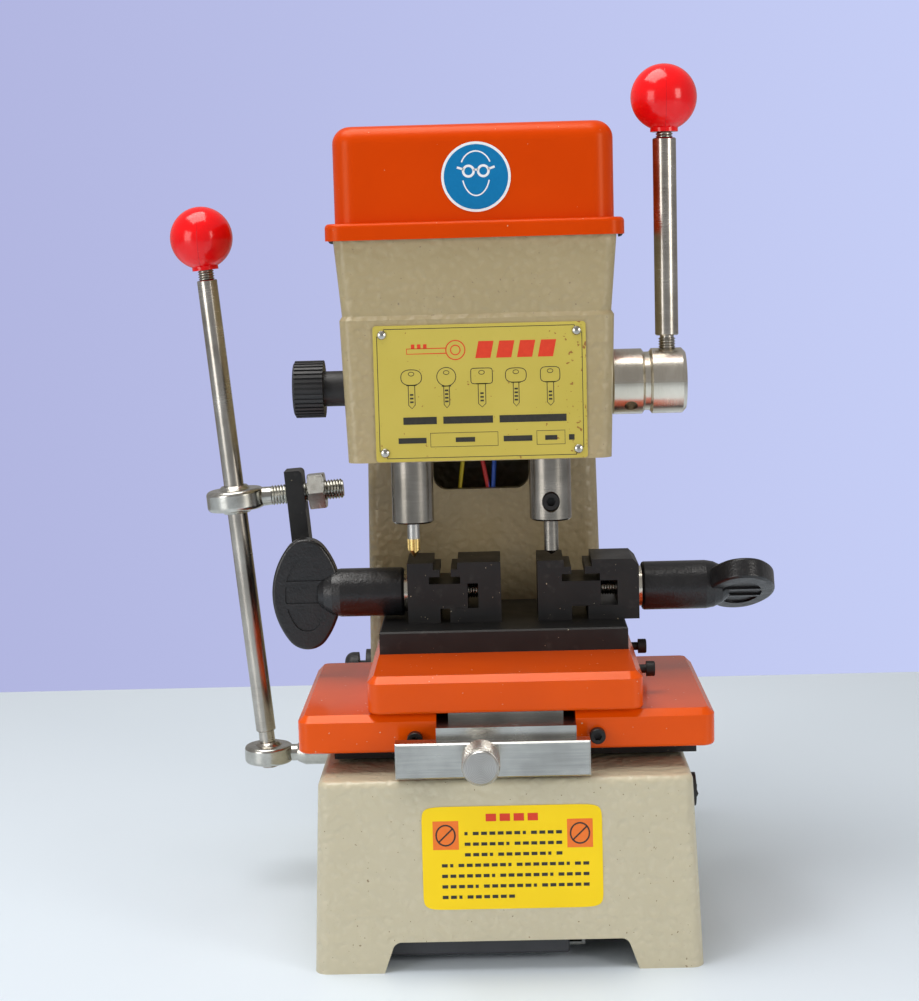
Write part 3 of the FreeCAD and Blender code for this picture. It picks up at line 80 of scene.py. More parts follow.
class Wire:
    """A socket in a finish's node tree. Arithmetic adds Math nodes, and make adds any other node."""

    def __init__(self, tree, socket=None):
        self.tree = tree
        self.socket = socket

    def make(self, kind, settings, sockets, output=0):
        """Adds a node: its settings first, then the values or links of its sockets. Gives one output."""
        node = self.tree.nodes.new(kind)
        for key, value in settings.items():
            setattr(node, key, value)
        for key, value in sockets.items():
            if isinstance(value, Wire):
                self.tree.links.new(value.socket, node.inputs[key])
            else:
                node.inputs[key].default_value = value
        return Wire(self.tree, node.outputs[output]) if node.outputs else None

    def maths(self, operation, first, second=0.0):
        return self.make("ShaderNodeMath", {"operation": operation}, {0: first, 1: second})

    def __add__(self, other):
        return self.maths("ADD", self, other)

    def __sub__(self, other):
        return self.maths("SUBTRACT", self, other)

    def __rsub__(self, other):
        return self.maths("SUBTRACT", other, self)

    def __mul__(self, other):
        return self.maths("MULTIPLY", self, other)

    def __gt__(self, other):
        return self.maths("GREATER_THAN", self, other)

    def __abs__(self):
        return self.maths("ABSOLUTE", self)

    __radd__ = __add__
    __rmul__ = __mul__


def finish(name, recipe, fixed):
    """A material: recipe takes the place on the object and gives the sockets that vary, fixed the rest."""
    material = bpy.data.materials.new(name)
    material.use_nodes = True
    tree = material.node_tree
    tree.nodes.clear()
    start = Wire(tree)
    place = start.make("ShaderNodeTexCoord", {}, {}, "Object")
    shader = start.make("ShaderNodeBsdfPrincipled", {}, {**fixed, **recipe(place)})
    start.make("ShaderNodeOutputMaterial", {}, {"Surface": shader})
    return material


def noise(place, scale, detail=3.0):
    """Cloudy noise between 0 and 1 with features about 1 / scale metres across."""
    return place.make("ShaderNodeTexNoise", {}, {"Vector": place, "Scale": scale, "Detail": detail}, "Fac")


def tint(mask, low, high):
    """The colour low where the mask is 0 and high where it is 1."""
    return mask.make("ShaderNodeMix", {"data_type": "RGBA"}, {0: mask, 6: low, 7: high}, 2)


def ramp(value, low, high):
    """A smooth step from 0 at low to 1 at high."""
    return value.make("ShaderNodeMapRange", {"interpolation_type": "SMOOTHSTEP"},
                      {"Value": value, "From Min": low, "From Max": high})


def bump(height, strength, distance):
    """A surface normal that follows the height, at most distance metres deep."""
    return height.make("ShaderNodeBump", {}, {"Height": height, "Strength": strength, "Distance": distance})


def axis_of(place, name):
    """One coordinate of the place, in metres."""
    return place.make("ShaderNodeSeparateXYZ", {}, {"Vector": place}, name)


world.use_nodes = True
world.node_tree.nodes.clear()
room = Wire(world.node_tree)
seen = room.make("ShaderNodeLightPath", {}, {}, "Is Camera Ray")
direction = room.make("ShaderNodeTexCoord", {}, {}, "Generated")
# The room seen by the camera grows lighter towards +X: painted light across the wall.
backdrop = tint(ramp(axis_of(direction, "X"), -0.4, 0.4), (0.43, 0.45, 0.73, 1.0), (0.58, 0.64, 0.95, 1.0))
wall = room.make("ShaderNodeBackground", {}, {"Color": tint(seen, (0.34, 0.33, 0.33, 1.0), backdrop)})
room.make("ShaderNodeOutputWorld", {}, {"Surface": wall})


def table_top(place):
    """Pale blue-white laminate with slow drifts of shade and a very fine grain."""
    colour = tint(noise(place, 2.0), (0.70, 0.80, 0.90, 1.0), (0.77, 0.85, 0.93, 1.0))
    return {"Base Color": colour, "Normal": bump(noise(place, 220.0), 0.05, 0.0003)}


table_reach, table_back = 6, 0.47
floor_mesh = bpy.data.meshes.new("table_top")
floor_mesh.from_pydata([(-table_reach, -table_reach, 0), (table_reach, -table_reach, 0),
                        (table_reach, table_back, 0), (-table_reach, table_back, 0)], [], [(0, 1, 2, 3)])
floor_mesh.materials.append(finish("table_top", table_top, {"Roughness": 0.45}))
floor = bpy.data.objects.new("table_top", floor_mesh)
bpy.context.scene.collection.objects.link(floor)

# ---- Sand castings: base, column and head -------------------------------------------------------------
# Iron castings that carry everything else, bolted one on another. They have a beige stoved paint that
# dries into shallow hammered cells, a little lighter where it is thin, with a few dark pits.


def coat(node_names, material):
    """Gives CAD parts a finish."""
    for name in node_names:
        nodes[name].data.materials.clear()
        nodes[name].data.materials.append(material)


def hammertone(thin_paint, thick_paint):
    """A recipe: thick paint in the hollows of the cells, thin paint on their walls, and a few pits."""
    def recipe(place):
        stir = place.make("ShaderNodeTexNoise", {}, {"Vector": place, "Scale": 160.0}, "Color")
        drift = place.make("ShaderNodeVectorMath", {"operation": "MULTIPLY_ADD"},
                           {0: stir, 1: (0.004, 0.004, 0.004), 2: place})
        cells = place.make("ShaderNodeTexVoronoi", {"feature": "SMOOTH_F1"},
                           {"Vector": drift, "Scale": 270.0, "Smoothness": 0.7}, "Distance")
        cloud = noise(place, 24.0)
        thin = ramp(cells, 0.55, 0.15) * 0.25 + cloud * 0.5
        pits = noise(place, 700.0, 1.0) > 0.76
        colour = tint(pits, tint(thin, thick_paint, thin_paint), (0.26, 0.20, 0.12, 1.0))
        height = cells * 0.8 + noise(place, 150.0) * 0.6
        return {"Base Color": colour, "Roughness": 0.26 + noise(place, 60.0) * 0.16,
                "Normal": bump(height, 0.9, 0.0009)}
    return recipe


hammered_gloss = {"Coat Weight": 0.2, "Coat Roughness": 0.15, "Specular IOR Level": 0.4}
coat(["base_casting"], finish("base_paint", hammertone((0.60, 0.55, 0.41, 1.0), (0.52, 0.47, 0.33, 1.0)),
                              hammered_gloss))
# The head's paint is a darker copy of the base's paint: painted shade, for the shade that falls on the head's
# front.
coat(["head_casting"], finish("head_paint_painted_shade", hammertone((0.45, 0.37, 0.22, 1.0), (0.36, 0.29, 0.155, 1.0)),
                              hammered_gloss))
# The column's paint is darker still: painted shade, for the shade under the head.
coat(["column_casting"], finish("column_paint_painted_shade", hammertone((0.36, 0.29, 0.17, 1.0), (0.28, 0.22, 0.12, 1.0)),
                                hammered_gloss))

# ---- Orange enamel: cover, lower and upper carriage ---------------------------------------------------
# The pressed cover and the two milled carriages are sprayed with a gloss orange enamel. It has a faint
# orange peel, a few specks of metal dust, and is redder on the carriages than on the cover.


def enamel(deep, light, gloss):
    """A recipe: colour between deep and light, and gloss, the roughness where the paint is smoothest."""
    def recipe(place):
        peel = noise(place, 420.0, 2.0) * 0.6 + noise(place, 90.0, 2.0) * 0.6
        colour = tint(noise(place, 30.0), deep, light)
        dust = noise(place, 900.0, 0.0) > 0.875
        colour = tint(dust, colour, (0.60, 0.45, 0.30, 1.0))
        return {"Base Color": colour, "Roughness": gloss + noise(place, 45.0) * 0.12 + dust * 0.3,
                "Normal": bump(peel, 0.12, 0.0004)}
    return recipe


coat(["top_cover"], finish("cover_enamel", enamel((0.58, 0.044, 0.0, 1.0), (0.66, 0.054, 0.0, 1.0), 0.26),
                           {"Coat Weight": 0.05, "Coat Roughness": 0.25, "Specular IOR Level": 0.25,
                            "Specular Tint": (1.0, 0.55, 0.25, 1.0)}))
coat(["lower_carriage", "upper_carriage"],
     finish("carriage_enamel", enamel((0.66, 0.068, 0.0, 1.0), (0.80, 0.092, 0.002, 1.0), 0.15),
            {"Coat Weight": 0.22, "Coat Roughness": 0.08, "Specular IOR Level": 0.3,
             "Specular Tint": (1.0, 0.6, 0.35, 1.0)}))

# ---- Black oxide steel: clamps, arm, wing handles, rail -----------------------------------------------
# Milled steel that is blacked and oiled. Handling wears it to grey in places, and filings leave a few
# bright specks. The wing handles are castings with a rough skin under black enamel.


def stretched(place, scale):
    """The place scaled by its own amount along each axis, for grain that runs one way."""
    return place.make("ShaderNodeMapping", {"vector_type": "POINT"}, {"Vector": place, "Scale": scale})


def black_oxide(place):
    """Near black with worn grey patches and specks of metal, over a fine upright milling grain."""
    cloud = noise(place, 70.0)
    rub = ramp(noise(place, 160.0, 4.0), 0.58, 0.80) * 0.5
    colour = tint(cloud, (0.010, 0.010, 0.011, 1.0), (0.024, 0.023, 0.022, 1.0))
    colour = tint(rub, colour, (0.060, 0.057, 0.052, 1.0))
    filings = noise(place, 1100.0, 0.0) > 0.865
    colour = tint(filings, colour, (0.55, 0.48, 0.34, 1.0))
    grain = noise(stretched(place, (1.0, 1.0, 6.0)), 380.0, 2.0)
    return {"Base Color": colour, "Roughness": 0.34 + cloud * 0.22, "Metallic": 0.35 + filings * 0.6,
            "Normal": bump(grain, 0.10, 0.0002)}


oxide = finish("black_oxide", black_oxide, {"Specular IOR Level": 0.45})
coat(["clamp_bar", "left_clamp_body", "right_clamp_body", "left_jaw", "right_jaw", "carriage_arm",
      "x_rail", "x_gibs"], oxide)


def black_enamel(place):
    """Black paint over the lumps and grain of a cast skin."""
    lumps = noise(place, 150.0, 3.0)
    skin = lumps + noise(place, 900.0, 2.0) * 0.7
    colour = tint(lumps, (0.005, 0.005, 0.006, 1.0), (0.010, 0.010, 0.011, 1.0))
    return {"Base Color": colour, "Roughness": 0.24 + lumps * 0.18, "Normal": bump(skin, 0.40, 0.0006)}


coat(["left_wing_handle", "right_wing_handle"],
     finish("black_enamel", black_enamel, {"Specular IOR Level": 0.55}))
coat(["frame_bolts", "cover_screws", "carriage_screws", "gib_screws", "tracer_set_screw"], oxide)

# ---- Bright steel: spindles, levers, rod ends, stop bar, hub ------------------------------------------
# Turned and ground steel, plated on the levers and rod ends. Turned parts keep fine rings round their
# axis, and milled parts keep straight strokes of the cutter.


def plated(grain_scale, strokes, light, dull):
    """A recipe: fine strokes that run along the axes with the smallest scale, and cloudy plating."""
    def recipe(place):
        grain = noise(stretched(place, strokes), grain_scale, 3.0)
        cloud = noise(place, 55.0)
        colour = tint(ramp(grain * 0.3 + cloud * 0.7, 0.30, 0.70), dull, light)
        return {"Base Color": colour, "Roughness": 0.16 + cloud * 0.12 + grain * 0.06,
                "Normal": bump(grain, 0.05, 0.0001)}
    return recipe


def steel(name, grain_scale, strokes, light, dull):
    """A bare or plated steel with its own grain and its own two shades."""
    return finish(name, plated(grain_scale, strokes, light, dull), {"Metallic": 1.0})


rings_across_z = steel("turned_about_z", 260.0, (0.6, 0.6, 9.0),
                       (0.52, 0.49, 0.44, 1.0), (0.34, 0.31, 0.27, 1.0))
# The spindles get a darker copy of the turned steel: painted shade, for the shade under the head.
ground_spindle_painted_shade = steel("ground_spindle_painted_shade", 260.0, (0.6, 0.6, 9.0),
                       (0.36, 0.33, 0.29, 1.0), (0.22, 0.20, 0.17, 1.0))
# Lighter than the other steels: partly a brighter plating, partly a painted reflection of bright
# surroundings.
rings_across_x = steel("turned_about_x_painted_sheen", 260.0, (9.0, 0.6, 0.6),
                       (0.82, 0.78, 0.68, 1.0), (0.60, 0.56, 0.47, 1.0))
milled_along_x = steel("milled_along_x", 420.0, (0.08, 3.0, 3.0),
                       (0.56, 0.56, 0.53, 1.0), (0.36, 0.36, 0.34, 1.0))
zinc = steel("zinc_plate", 300.0, (1.0, 1.0, 1.0), (0.62, 0.62, 0.58, 1.0), (0.36, 0.35, 0.31, 1.0))
coat(["tracer_spindle", "cutter_spindle", "tracer_pin"], ground_spindle_painted_shade)
coat(["feed_lever", "joystick_lever", "guide_posts",
      "spindle_pulley", "motor_pulley", "spindle_bearings"], rings_across_z)
coat(["feed_hub", "left_clamp_screw", "right_clamp_screw"], rings_across_x)
coat(["stop_bar", "y_slide_tongue", "quill_carrier", "battery_straps"], milled_along_x)
coat(["upper_rod_end", "upper_ball", "lower_rod_end", "rod_end_nut", "plate_rivets", "quill_springs"], zinc)

# ---- Cutter, bushes, motor, battery, board, belt and wires --------------------------------------------
# The parts of the drive and the supply. Most are inside the head, the column or the base, and show
# through the column window, under the base arch or from below.


def gold_coating(place):
    """Gold coloured coating on the cutting end, and plain steel above where the coating stops."""
    swirl = noise(stretched(place, (1.0, 1.0, 3.0)), 500.0)
    gold = tint(swirl, (0.62, 0.40, 0.12, 1.0), (0.86, 0.64, 0.26, 1.0))
    coating_end, shank_start = 0.1825, 0.1835
    shank = ramp(axis_of(place, "Z"), coating_end, shank_start)
    return {"Base Color": tint(shank, gold, (0.50, 0.49, 0.46, 1.0)), "Roughness": 0.22 + swirl * 0.15}


def oiled_bronze(place):
    """Cloudy bronze, browner where the oil lies."""
    cloud = noise(place, 180.0)
    return {"Base Color": tint(cloud, (0.42, 0.24, 0.09, 1.0), (0.62, 0.40, 0.17, 1.0)),
            "Roughness": 0.30 + cloud * 0.2, "Normal": bump(cloud, 0.1, 0.0002)}


def moulded(low, high, scale=700.0):
    """A recipe: a moulded or painted skin between two shades, with a fine even grain."""
    def recipe(place):
        grain = noise(place, scale, 2.0)
        return {"Base Color": tint(noise(place, 60.0), low, high), "Roughness": 0.38 + grain * 0.2,
                "Normal": bump(grain, 0.25, 0.0002)}
    return recipe


def three_wires(place):
    """Yellow, red and blue coverings from left to right, which change in the gaps between the wires."""
    side = axis_of(place, "X")
    yellow_to_red, red_to_blue, gap = -0.0135, -0.0050, 0.0005
    first = ramp(side, yellow_to_red, yellow_to_red + gap)
    second = ramp(side, red_to_blue, red_to_blue + gap)
    colour = tint(second, tint(first, (0.75, 0.58, 0.02, 1.0), (0.62, 0.02, 0.02, 1.0)),
                  (0.02, 0.10, 0.55, 1.0))
    return {"Base Color": colour, "Roughness": 0.35 + noise(place, 400.0) * 0.15}


coat(["cutter_bit"], finish("gold_coating", gold_coating, {"Metallic": 1.0}))
coat(["bearing_bushes"], finish("oiled_bronze", oiled_bronze, {"Metallic": 1.0}))
coat(["motor"], finish("motor_paint", moulded((0.05, 0.055, 0.06, 1.0), (0.09, 0.095, 0.10, 1.0)), {}))
coat(["battery"], finish("battery_case", moulded((0.028, 0.029, 0.034, 1.0), (0.050, 0.052, 0.060, 1.0)), {}))
coat(["charger_board"],
     finish("solder_mask", moulded((0.012, 0.10, 0.035, 1.0), (0.02, 0.16, 0.06, 1.0)), {}))
coat(["drive_belt"],
     finish("belt_rubber", moulded((0.012, 0.012, 0.012, 1.0), (0.03, 0.03, 0.03, 1.0), 400.0), {}))
coat(["motor_wires"], finish("wire_covering", three_wires, {"Specular IOR Level": 0.5}))
coat(["rear_terminals", "switch_housing", "switch_rocker", "start_button_housing", "start_button",
      "lock_knob"], finish("black_moulding", moulded((0.010, 0.010, 0.011, 1.0), (0.020, 0.020, 0.022, 1.0)),
                           {"Specular IOR Level": 0.5}))

# ---- Red ball knobs on the two levers -----------------------------------------------------------------
# Moulded balls with a bright gloss. Each has the faint witness line of its two-part mould round the
# middle, and a few hair scratches from use.


def glossy_ball(middle):
    """A recipe: red with a thin darker mould line in the plane X = middle, and hair scratches."""
    def recipe(place):
        seam = abs(axis_of(place, "X") - middle)
        line = ramp(seam, 0.00025, 0.00005)
        scratches = ramp(noise(stretched(place, (1.0, 8.0, 2.0)), 150.0, 4.0), 0.68, 0.74)
        colour = tint(noise(place, 45.0), (0.80, 0.002, 0.004, 1.0), (0.90, 0.004, 0.007, 1.0))
        return {"Base Color": tint(line * 0.35, colour, (0.30, 0.0, 0.01, 1.0)),
                "Roughness": 0.16 + scratches * 0.10 + noise(place, 90.0) * 0.06,
                "Normal": bump(line + scratches * 0.05, 0.25, 0.0002)}
    return recipe


for knob in ("feed_knob", "joystick_knob"):
    low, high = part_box(knob)
    coat([knob], finish(knob + "_gloss", glossy_ball((low.x + high.x) / 2),
                        {"Coat Weight": 0.25, "Coat Roughness": 0.05, "Specular IOR Level": 0.3}))

# ---- Knurled grip of the stop screw -------------------------------------------------------------------
# A steel thumb screw that clamps the stop bar. Its rim is rolled with a crossed knurl of fine diamonds
# that gives two fingers a hold, and its end face is turned in fine rings.


def surface(name, grids, material, body, wall=0.0):
    """One mesh from grids of points, each rows x columns x 3, with quads between neighbours. A wall, in
    metres, is built behind an open grid."""
    vertices, faces, start = [], [], 0
    for grid in grids:
        rows, columns = grid.shape[:2]
        index = start + np.arange(rows * columns).reshape(rows, columns)
        quads = np.stack([index[:-1, :-1], index[:-1, 1:], index[1:, 1:], index[1:, :-1]], axis=-1)
        vertices.append(grid.reshape(-1, 3))
        faces.append(quads.reshape(-1, 4))
        start += rows * columns
    mesh = bpy.data.meshes.new(name)
    mesh.from_pydata(np.concatenate(vertices).tolist(), [], np.concatenate(faces).tolist())
    mesh.materials.append(material)
    piece = bpy.data.objects.new(name, mesh)
    bpy.context.scene.collection.objects.link(piece)
    if wall:
        solid = piece.modifiers.new("wall", "SOLIDIFY")
        solid.thickness = wall
        solid.offset = -1.0
    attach(piece, body)
    return piece


def knurled_rim(centre, radius, depth, ridges, length):
    """Radius plus depth times the product of two sines that wind opposite ways round the axis, which gives
    diamonds; a step over the first and last row brings the rim down to the plain radius."""
    turn = np.linspace(0.0, 2 * math.pi, ridges * 6 + 1)
    along = np.linspace(0.0, length, 73)[:, None]
    wind = along * ridges / (2 * radius)
    diamonds = np.abs(np.sin(turn * ridges / 2 + wind)) * np.abs(np.sin(turn * ridges / 2 - wind))
    step, step_length = 0.0002, 0.0008
    end = np.clip(np.minimum(along, length - along) / step_length, 0.0, 1.0)
    reach = radius - step + end * (step + depth * diamonds)
    return np.stack([centre[0] + reach * np.cos(turn), np.broadcast_to(centre[1] + along, reach.shape),
                     centre[2] + reach * np.sin(turn)], axis=-1)


def faced_end(place):
    """Fine turned rings round the screw's own axis, which runs along Y."""
    centred = place.make("ShaderNodeMapping", {"vector_type": "POINT"},
                         {"Vector": place, "Location": (-thumb_axis[0], 0.0, -thumb_axis[2]),
                          "Scale": (1.0, 0.0, 1.0)})
    reach = centred.make("ShaderNodeVectorMath", {"operation": "LENGTH"}, {0: centred}, "Value")
    ring = reach.maths("SINE", reach * 9000.0)
    cloud = noise(place, 200.0)
    colour = tint(ring * 0.35 + cloud * 0.5, (0.36, 0.35, 0.33, 1.0), (0.72, 0.71, 0.68, 1.0))
    return {"Base Color": colour, "Roughness": 0.24 + cloud * 0.15, "Normal": bump(ring, 0.25, 0.0001)}


thumb_low, thumb_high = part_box("thumb_screw")
knurl_start, knurl_length, knurl_radius, knurl_depth, knurl_ridges = 0.0009, 0.0175, 0.0078, 0.0005, 44
thumb_axis = ((thumb_low.x + thumb_high.x) / 2, thumb_low.y + knurl_start, (thumb_low.z + thumb_high.z) / 2)
coat(["thumb_screw"], finish("faced_end", faced_end, {"Metallic": 1.0}))
knurl = knurled_rim(thumb_axis, knurl_radius, knurl_depth, knurl_ridges, knurl_length)
surface("stop_screw_knurl", [knurl], zinc, "stop_screw", 0.0002)

# ---- Name plate and its print -------------------------------------------------------------------------
# A thin yellow printed sheet, held on the head by four drive rivets. Its print is a notched border line,
# a red key, five outlines of keys that the machine can copy, and plain bars where such a plate has words.
# Places and sizes of the print are in millimetres.


def printed_sheet(low, high, stain):
    """A recipe: a printed yellow between two shades; stain adds rust spots, more towards the right edge."""
    def recipe(place):
        cloud = noise(place, 40.0)
        rust_start, sheet_edge = 0.020, 0.044
        right_edge = ramp(axis_of(place, "X"), rust_start, sheet_edge)
        rust = ramp(noise(place, 420.0, 4.0) + right_edge * 0.10, 0.70, 0.76)
        colour = tint(rust * stain, tint(cloud, low, high), (0.30, 0.13, 0.03, 1.0))
        return {"Base Color": colour, "Roughness": 0.32 + cloud * 0.15 + rust * 0.2,
                "Normal": bump(noise(place, 500.0), 0.05, 0.0002)}
    return recipe


def ink(low, high):
    """A recipe: printing ink between two shades, duller where it is worn."""
    def recipe(place):
        wear = noise(place, 700.0, 3.0)
        return {"Base Color": tint(wear, low, high), "Roughness": 0.35 + wear * 0.2}
    return recipe


coat(["name_plate"],
     finish("plate_yellow", printed_sheet((0.50, 0.405, 0.065, 1.0), (0.57, 0.465, 0.088, 1.0), 1.0),
            {"Coat Weight": 0.1, "Specular IOR Level": 0.35}))
black_ink = finish("black_ink", ink((0.010, 0.010, 0.008, 1.0), (0.035, 0.032, 0.022, 1.0)), {})
red_ink = finish("red_ink", ink((0.62, 0.028, 0.006, 1.0), (0.74, 0.050, 0.012, 1.0)), {})
white_ink = finish("white_ink", ink((0.74, 0.76, 0.78, 1.0), (0.86, 0.87, 0.88, 1.0)), {})


def line(points, width, closed=False):
    """A flat band along a path in X and Z: each point moves half the width to either side, along the mean
    of the normals of the runs before and after it."""
    path = np.asarray(points, float)
    before = path - np.roll(path, 1, axis=0)
    after = np.roll(path, -1, axis=0) - path
    if not closed:
        before[0], after[-1] = after[0], before[-1]
    mean = before / np.linalg.norm(before, axis=1)[:, None] + after / np.linalg.norm(after, axis=1)[:, None]
    normal = np.stack([-mean[:, 1], mean[:, 0]], axis=1) / np.linalg.norm(mean, axis=1)[:, None]
    band = np.stack([path + normal * width / 2, path - normal * width / 2], axis=1)
    return np.concatenate([band, band[:1]]) if closed else band


def bar(x0, x1, z0, z1, slant=0.0):
    """A filled four-sided bar; slant moves its top edge sideways."""
    return np.array([[(x0 + slant, z1), (x0, z0)], [(x1 + slant, z1), (x1, z0)]], float)


def oval(x, z, half_x, half_z, power=2.0, count=28):
    """A closed superellipse: cosine and sine, each raised to 2 / power with its sign kept."""
    turn = np.linspace(0.0, 2 * math.pi, count, endpoint=False)
    wave = np.stack([np.cos(turn), np.sin(turn)], axis=1)
    return np.array([x, z]) + np.array([half_x, half_z]) * np.sign(wave) * np.abs(wave) ** (2.0 / power)


def disc(x, z, radius, count=28):
    """A filled round spot: rings of an oval from the rim in to almost nothing."""
    rim = oval(x, z, radius, radius, 2.0, count)
    rim = np.concatenate([rim, rim[:1]])
    centre = np.array([x, z])
    return np.stack([rim, centre + (rim - centre) * 0.5, centre + (rim - centre) * 0.001], axis=1)


ink_wall, ink_proud = 0.00004, 0.00004


def print_on(name, bands, face_y, material, body, proud):
    """Prints flat bands, given in millimetres, on a face: face_y gives Y for a height, in metres. A band
    whose quads would face the machine has its columns reversed, so that all of them face the front."""
    grids = []
    for band in bands:
        across, down = band[:-1, 1:] - band[:-1, :-1], band[1:, :-1] - band[:-1, :-1]
        if (across[..., 0] * down[..., 1] - across[..., 1] * down[..., 0]).sum() < 0:
            band = band[:, ::-1]
        x, z = band[..., 0] / 1000, band[..., 1] / 1000
        grids.append(np.stack([x, face_y(z) - proud, z], axis=-1))
    return surface(name, grids, material, body, ink_wall)


bow_z, taper_z, tip_z = 262.4, 249.6, 248.0
first_dot_z, dot_pitch, dot_height, dot_half = 250.6, 1.7, 0.8, 0.8


def key_drawing(x, half_x, half_z, power, blade, bits):
    """A key standing on its blade: an oval bow, its hole, a shoulder and a long blade with cut dots."""
    shoulder_z, overhang = bow_z - half_z, 0.9
    drawing = [line(oval(x, bow_z, half_x, half_z, power), 0.35, True),
               line(oval(x, bow_z + half_z * 0.45, 1.3, 0.9), 0.3, True),
               line([(x - blade, shoulder_z), (x - blade, taper_z), (x, tip_z), (x + blade, taper_z),
                     (x + blade, shoulder_z)], 0.35),
               line([(x - blade - overhang, shoulder_z), (x + blade + overhang, shoulder_z)], 0.5)]
    for step in range(bits):
        dot_z = first_dot_z + dot_pitch * step
        drawing.append(bar(x - dot_half, x + dot_half, dot_z, dot_z + dot_height))
    return drawing


plate_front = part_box("name_plate")[0].y


def plate_face(z):
    """The flat upright front of the plate."""
    return np.full_like(z, plate_front)


notch = 3.4
corner_x, corner_z = (-54.2, 40.2), (225.0, 284.8)
border = []
for side_x, side_z, start in ((1, 0, 180.0), (1, 1, 270.0), (0, 1, 0.0), (0, 0, 90.0)):
    sweep = np.radians(start + np.linspace(0.0, -90.0, 7))
    centre = np.array([corner_x[side_x], corner_z[side_z]])
    border += list(centre + notch * np.stack([np.cos(sweep), np.sin(sweep)], axis=1))
black_print = [line(border, 0.4, True)]
for x, half_x, half_z, power, blade, bits in ((-38.8, 4.8, 3.6, 2.4, 1.5, 3), (-22.6, 4.4, 4.3, 2.0, 1.3, 4),
                                              (-6.3, 5.0, 3.6, 7.0, 1.7, 3), (9.5, 4.8, 3.3, 3.0, 1.3, 4),
                                              (25.3, 4.5, 3.5, 4.0, 1.5, 3)):
    black_print += key_drawing(x, half_x, half_z, power, blade, bits)
word_row, small_row, boxed_row = (240.6, 244.0), (231.8, 234.4), (232.0, 234.2)
box_bottom, box_top = 230.0, 236.4
black_print += [bar(x0, x1, *word_row) for x0, x1 in ((-43.0, -27.5), (-24.5, -1.5), (1.5, 32.5))]
black_print += [bar(x0, x1, *small_row) for x0, x1 in ((-45.5, -32.5), (3.2, 16.5), (33.4, 36.0))]
black_print += [line([(x0, box_bottom), (x1, box_bottom), (x1, box_top), (x0, box_top)], 0.3, True)
                for x0, x1 in ((-30.6, 0.6), (18.6, 31.6))]
black_print += [bar(x0, x1, *boxed_row) for x0, x1 in ((-19.0, -10.0), (22.4, 28.0))]
print_on("plate_black_print", black_print, plate_face, black_ink, "frame", ink_proud)
red_bow = (-18.1, 274.6)
blade_top, blade_bottom, blade_root, blade_tip = 275.6, 273.2, -22.5, -40.6
red_print = [line(oval(*red_bow, 4.4, 4.4), 0.5, True), line(oval(*red_bow, 2.2, 2.2), 0.5, True),
             line([(blade_root, blade_top), (blade_tip, blade_top), (blade_tip, blade_bottom),
                   (blade_root, blade_bottom)], 0.45)]
red_print += [bar(x, x + 1.6, blade_top, blade_top + 2.0) for x in (-38.5, -35.7, -32.9)]
red_print += [bar(x, x + 7.0, 270.6, 278.4, 1.6) for x in (-9.0, 0.6, 10.2, 19.8)]
print_on("plate_red_print", red_print, plate_face, red_ink, "frame", ink_proud)

# ---- Instruction label on the front of the base -------------------------------------------------------
# A bright yellow self-adhesive label with round corners. It has two orange squares with a plain round
# sign in each, a row of short red bars as a heading, and rows of dark dashes in place of its words.
label_x, label_z = (-37.6, 42.6), (28.7, 75.5)
label_wall, label_proud = 0.0002, 0.00028
print_proud, sign_proud = label_proud + 0.00005, label_proud + 0.0001
base_front, base_lean, base_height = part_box("base_casting")[0].y, 0.0029, 0.0872


def base_face(z):
    """The front of the base leans back evenly by base_lean over base_height."""
    return base_front + base_lean / base_height * z


def filled_oval(x, z, half_x, half_z, power):
    """A filled superellipse, as shrinking copies of its rim."""
    rim = oval(x, z, half_x, half_z, power, 64)
    rim = np.concatenate([rim, rim[:1]])
    centre = np.array([x, z])
    return np.stack([centre + (rim - centre) * share for share in (1.0, 0.7, 0.3, 0.001)], axis=1)


label_centre = (sum(label_x) / 2, sum(label_z) / 2)
label_half = ((label_x[1] - label_x[0]) / 2, (label_z[1] - label_z[0]) / 2)
label_yellow = finish("label_yellow", printed_sheet((0.90, 0.62, 0.004, 1.0), (0.97, 0.69, 0.008, 1.0), 0.0),
                      {"Specular IOR Level": 0.3})
label_orange = finish("label_orange", ink((0.80, 0.16, 0.01, 1.0), (0.88, 0.20, 0.02, 1.0)), {})
label_piece = print_on("instruction_label", [filled_oval(*label_centre, *label_half, 14.0)], base_face,
                       label_yellow, "frame", label_proud)
label_piece.modifiers["wall"].thickness = label_wall
square_bottom, square_top = 56.0, 69.0
squares = [bar(x0, x1, square_bottom, square_top) for x0, x1 in ((-32.7, -21.2), (27.0, 38.4))]
print_on("label_squares", squares, base_face, label_orange, "frame", print_proud)
middle = (square_bottom + square_top) / 2
signs = []
for x in (-27.0, 32.7):
    signs += [line(oval(x, middle, 4.2, 4.6), 0.7, True),
              line([(x - 3.0, middle - 2.9), (x + 3.0, middle + 2.9)], 0.7)]
print_on("label_signs", signs, base_face, black_ink, "frame", sign_proud)
heading = [bar(x, x + 4.6, 68.6, 72.0) for x in (-9.0, -2.8, 3.4, 9.6)]
print_on("label_heading", heading, base_face, red_ink, "frame", print_proud)
top_row, row_pitch, dash_pitch, dash_half = 63.2, 4.8, 3.7, 0.75
long_dash, short_dash = 2.6, 1.4
dashes = []
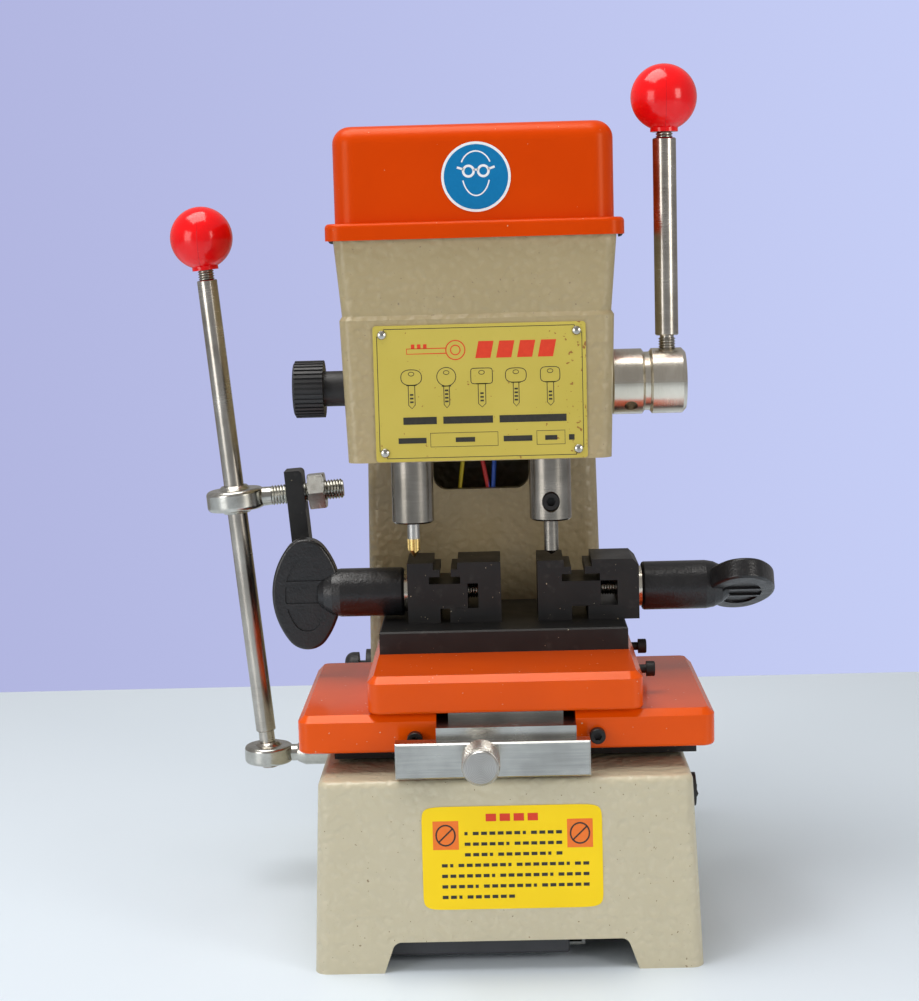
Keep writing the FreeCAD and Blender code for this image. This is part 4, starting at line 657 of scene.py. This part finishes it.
for row, (row_start, count) in enumerate([(-18.6, 12)] * 3 + [(-29.0, 18)] * 3 + [(-29.0, 9)]):
    z = top_row - row * row_pitch
    for step in range(count):
        x = row_start + dash_pitch * step
        width = long_dash if (step * 5 + row * 3) % 7 else short_dash
        dashes.append(bar(x, x + width, z - dash_half, z + dash_half))
print_on("label_dashes", dashes, base_face, black_ink, "frame", print_proud)

# ---- Round sign on the cover --------------------------------------------------------------------------
# A round sticker on the front of the cover: a white rim, a blue field, and a plain drawing of a face
# that wears goggles, in white lines.
sign_x, sign_z, sign_r = -6.6, 353.2, 15.9
rim_width = 1.2
skirt_front, skirt_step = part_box("top_cover")[0].y, 0.0056


def cover_face(z):
    """The upright front wall of the cover, which stands behind the front of its skirt."""
    return np.full_like(z, skirt_front + skirt_step)


sign_blue = finish("sign_blue", ink((0.001, 0.150, 0.36, 1.0), (0.002, 0.185, 0.43, 1.0)),
                   {"Specular IOR Level": 0.2})
print_on("sign_rim", [disc(sign_x, sign_z, sign_r, 64)], cover_face, white_ink, "frame",
         0.00020)
print_on("sign_field", [disc(sign_x, sign_z, sign_r - rim_width, 64)], cover_face, sign_blue, "frame",
         0.00026)
jaw_turn = np.radians(np.linspace(200.0, 340.0, 19))
jaw_line = np.stack([sign_x + 6.4 * np.cos(jaw_turn), sign_z + 2.0 + 10.5 * np.sin(jaw_turn)], axis=1)
brow_turn = np.radians(np.linspace(25.0, 155.0, 15))
brow_line = np.stack([sign_x + 7.2 * np.cos(brow_turn), sign_z + 3.0 + 8.6 * np.sin(brow_turn)], axis=1)
goggles = [line(oval(sign_x + side * 3.4, sign_z + 2.6, 2.4, 2.4), 1.1, True) for side in (-1, 1)]
goggles += [line([(sign_x - 1.1, sign_z + 3.2), (sign_x + 1.1, sign_z + 3.2)], 0.9),
            line([(sign_x - 8.6, sign_z + 4.4), (sign_x - 5.7, sign_z + 3.4)], 1.0),
            line([(sign_x + 5.7, sign_z + 3.4), (sign_x + 8.6, sign_z + 4.4)], 1.0)]
face_drawing = [line(jaw_line, 0.6), line(brow_line, 0.6)] + goggles
print_on("sign_drawing", face_drawing, cover_face, white_ink, "frame", 0.00031)
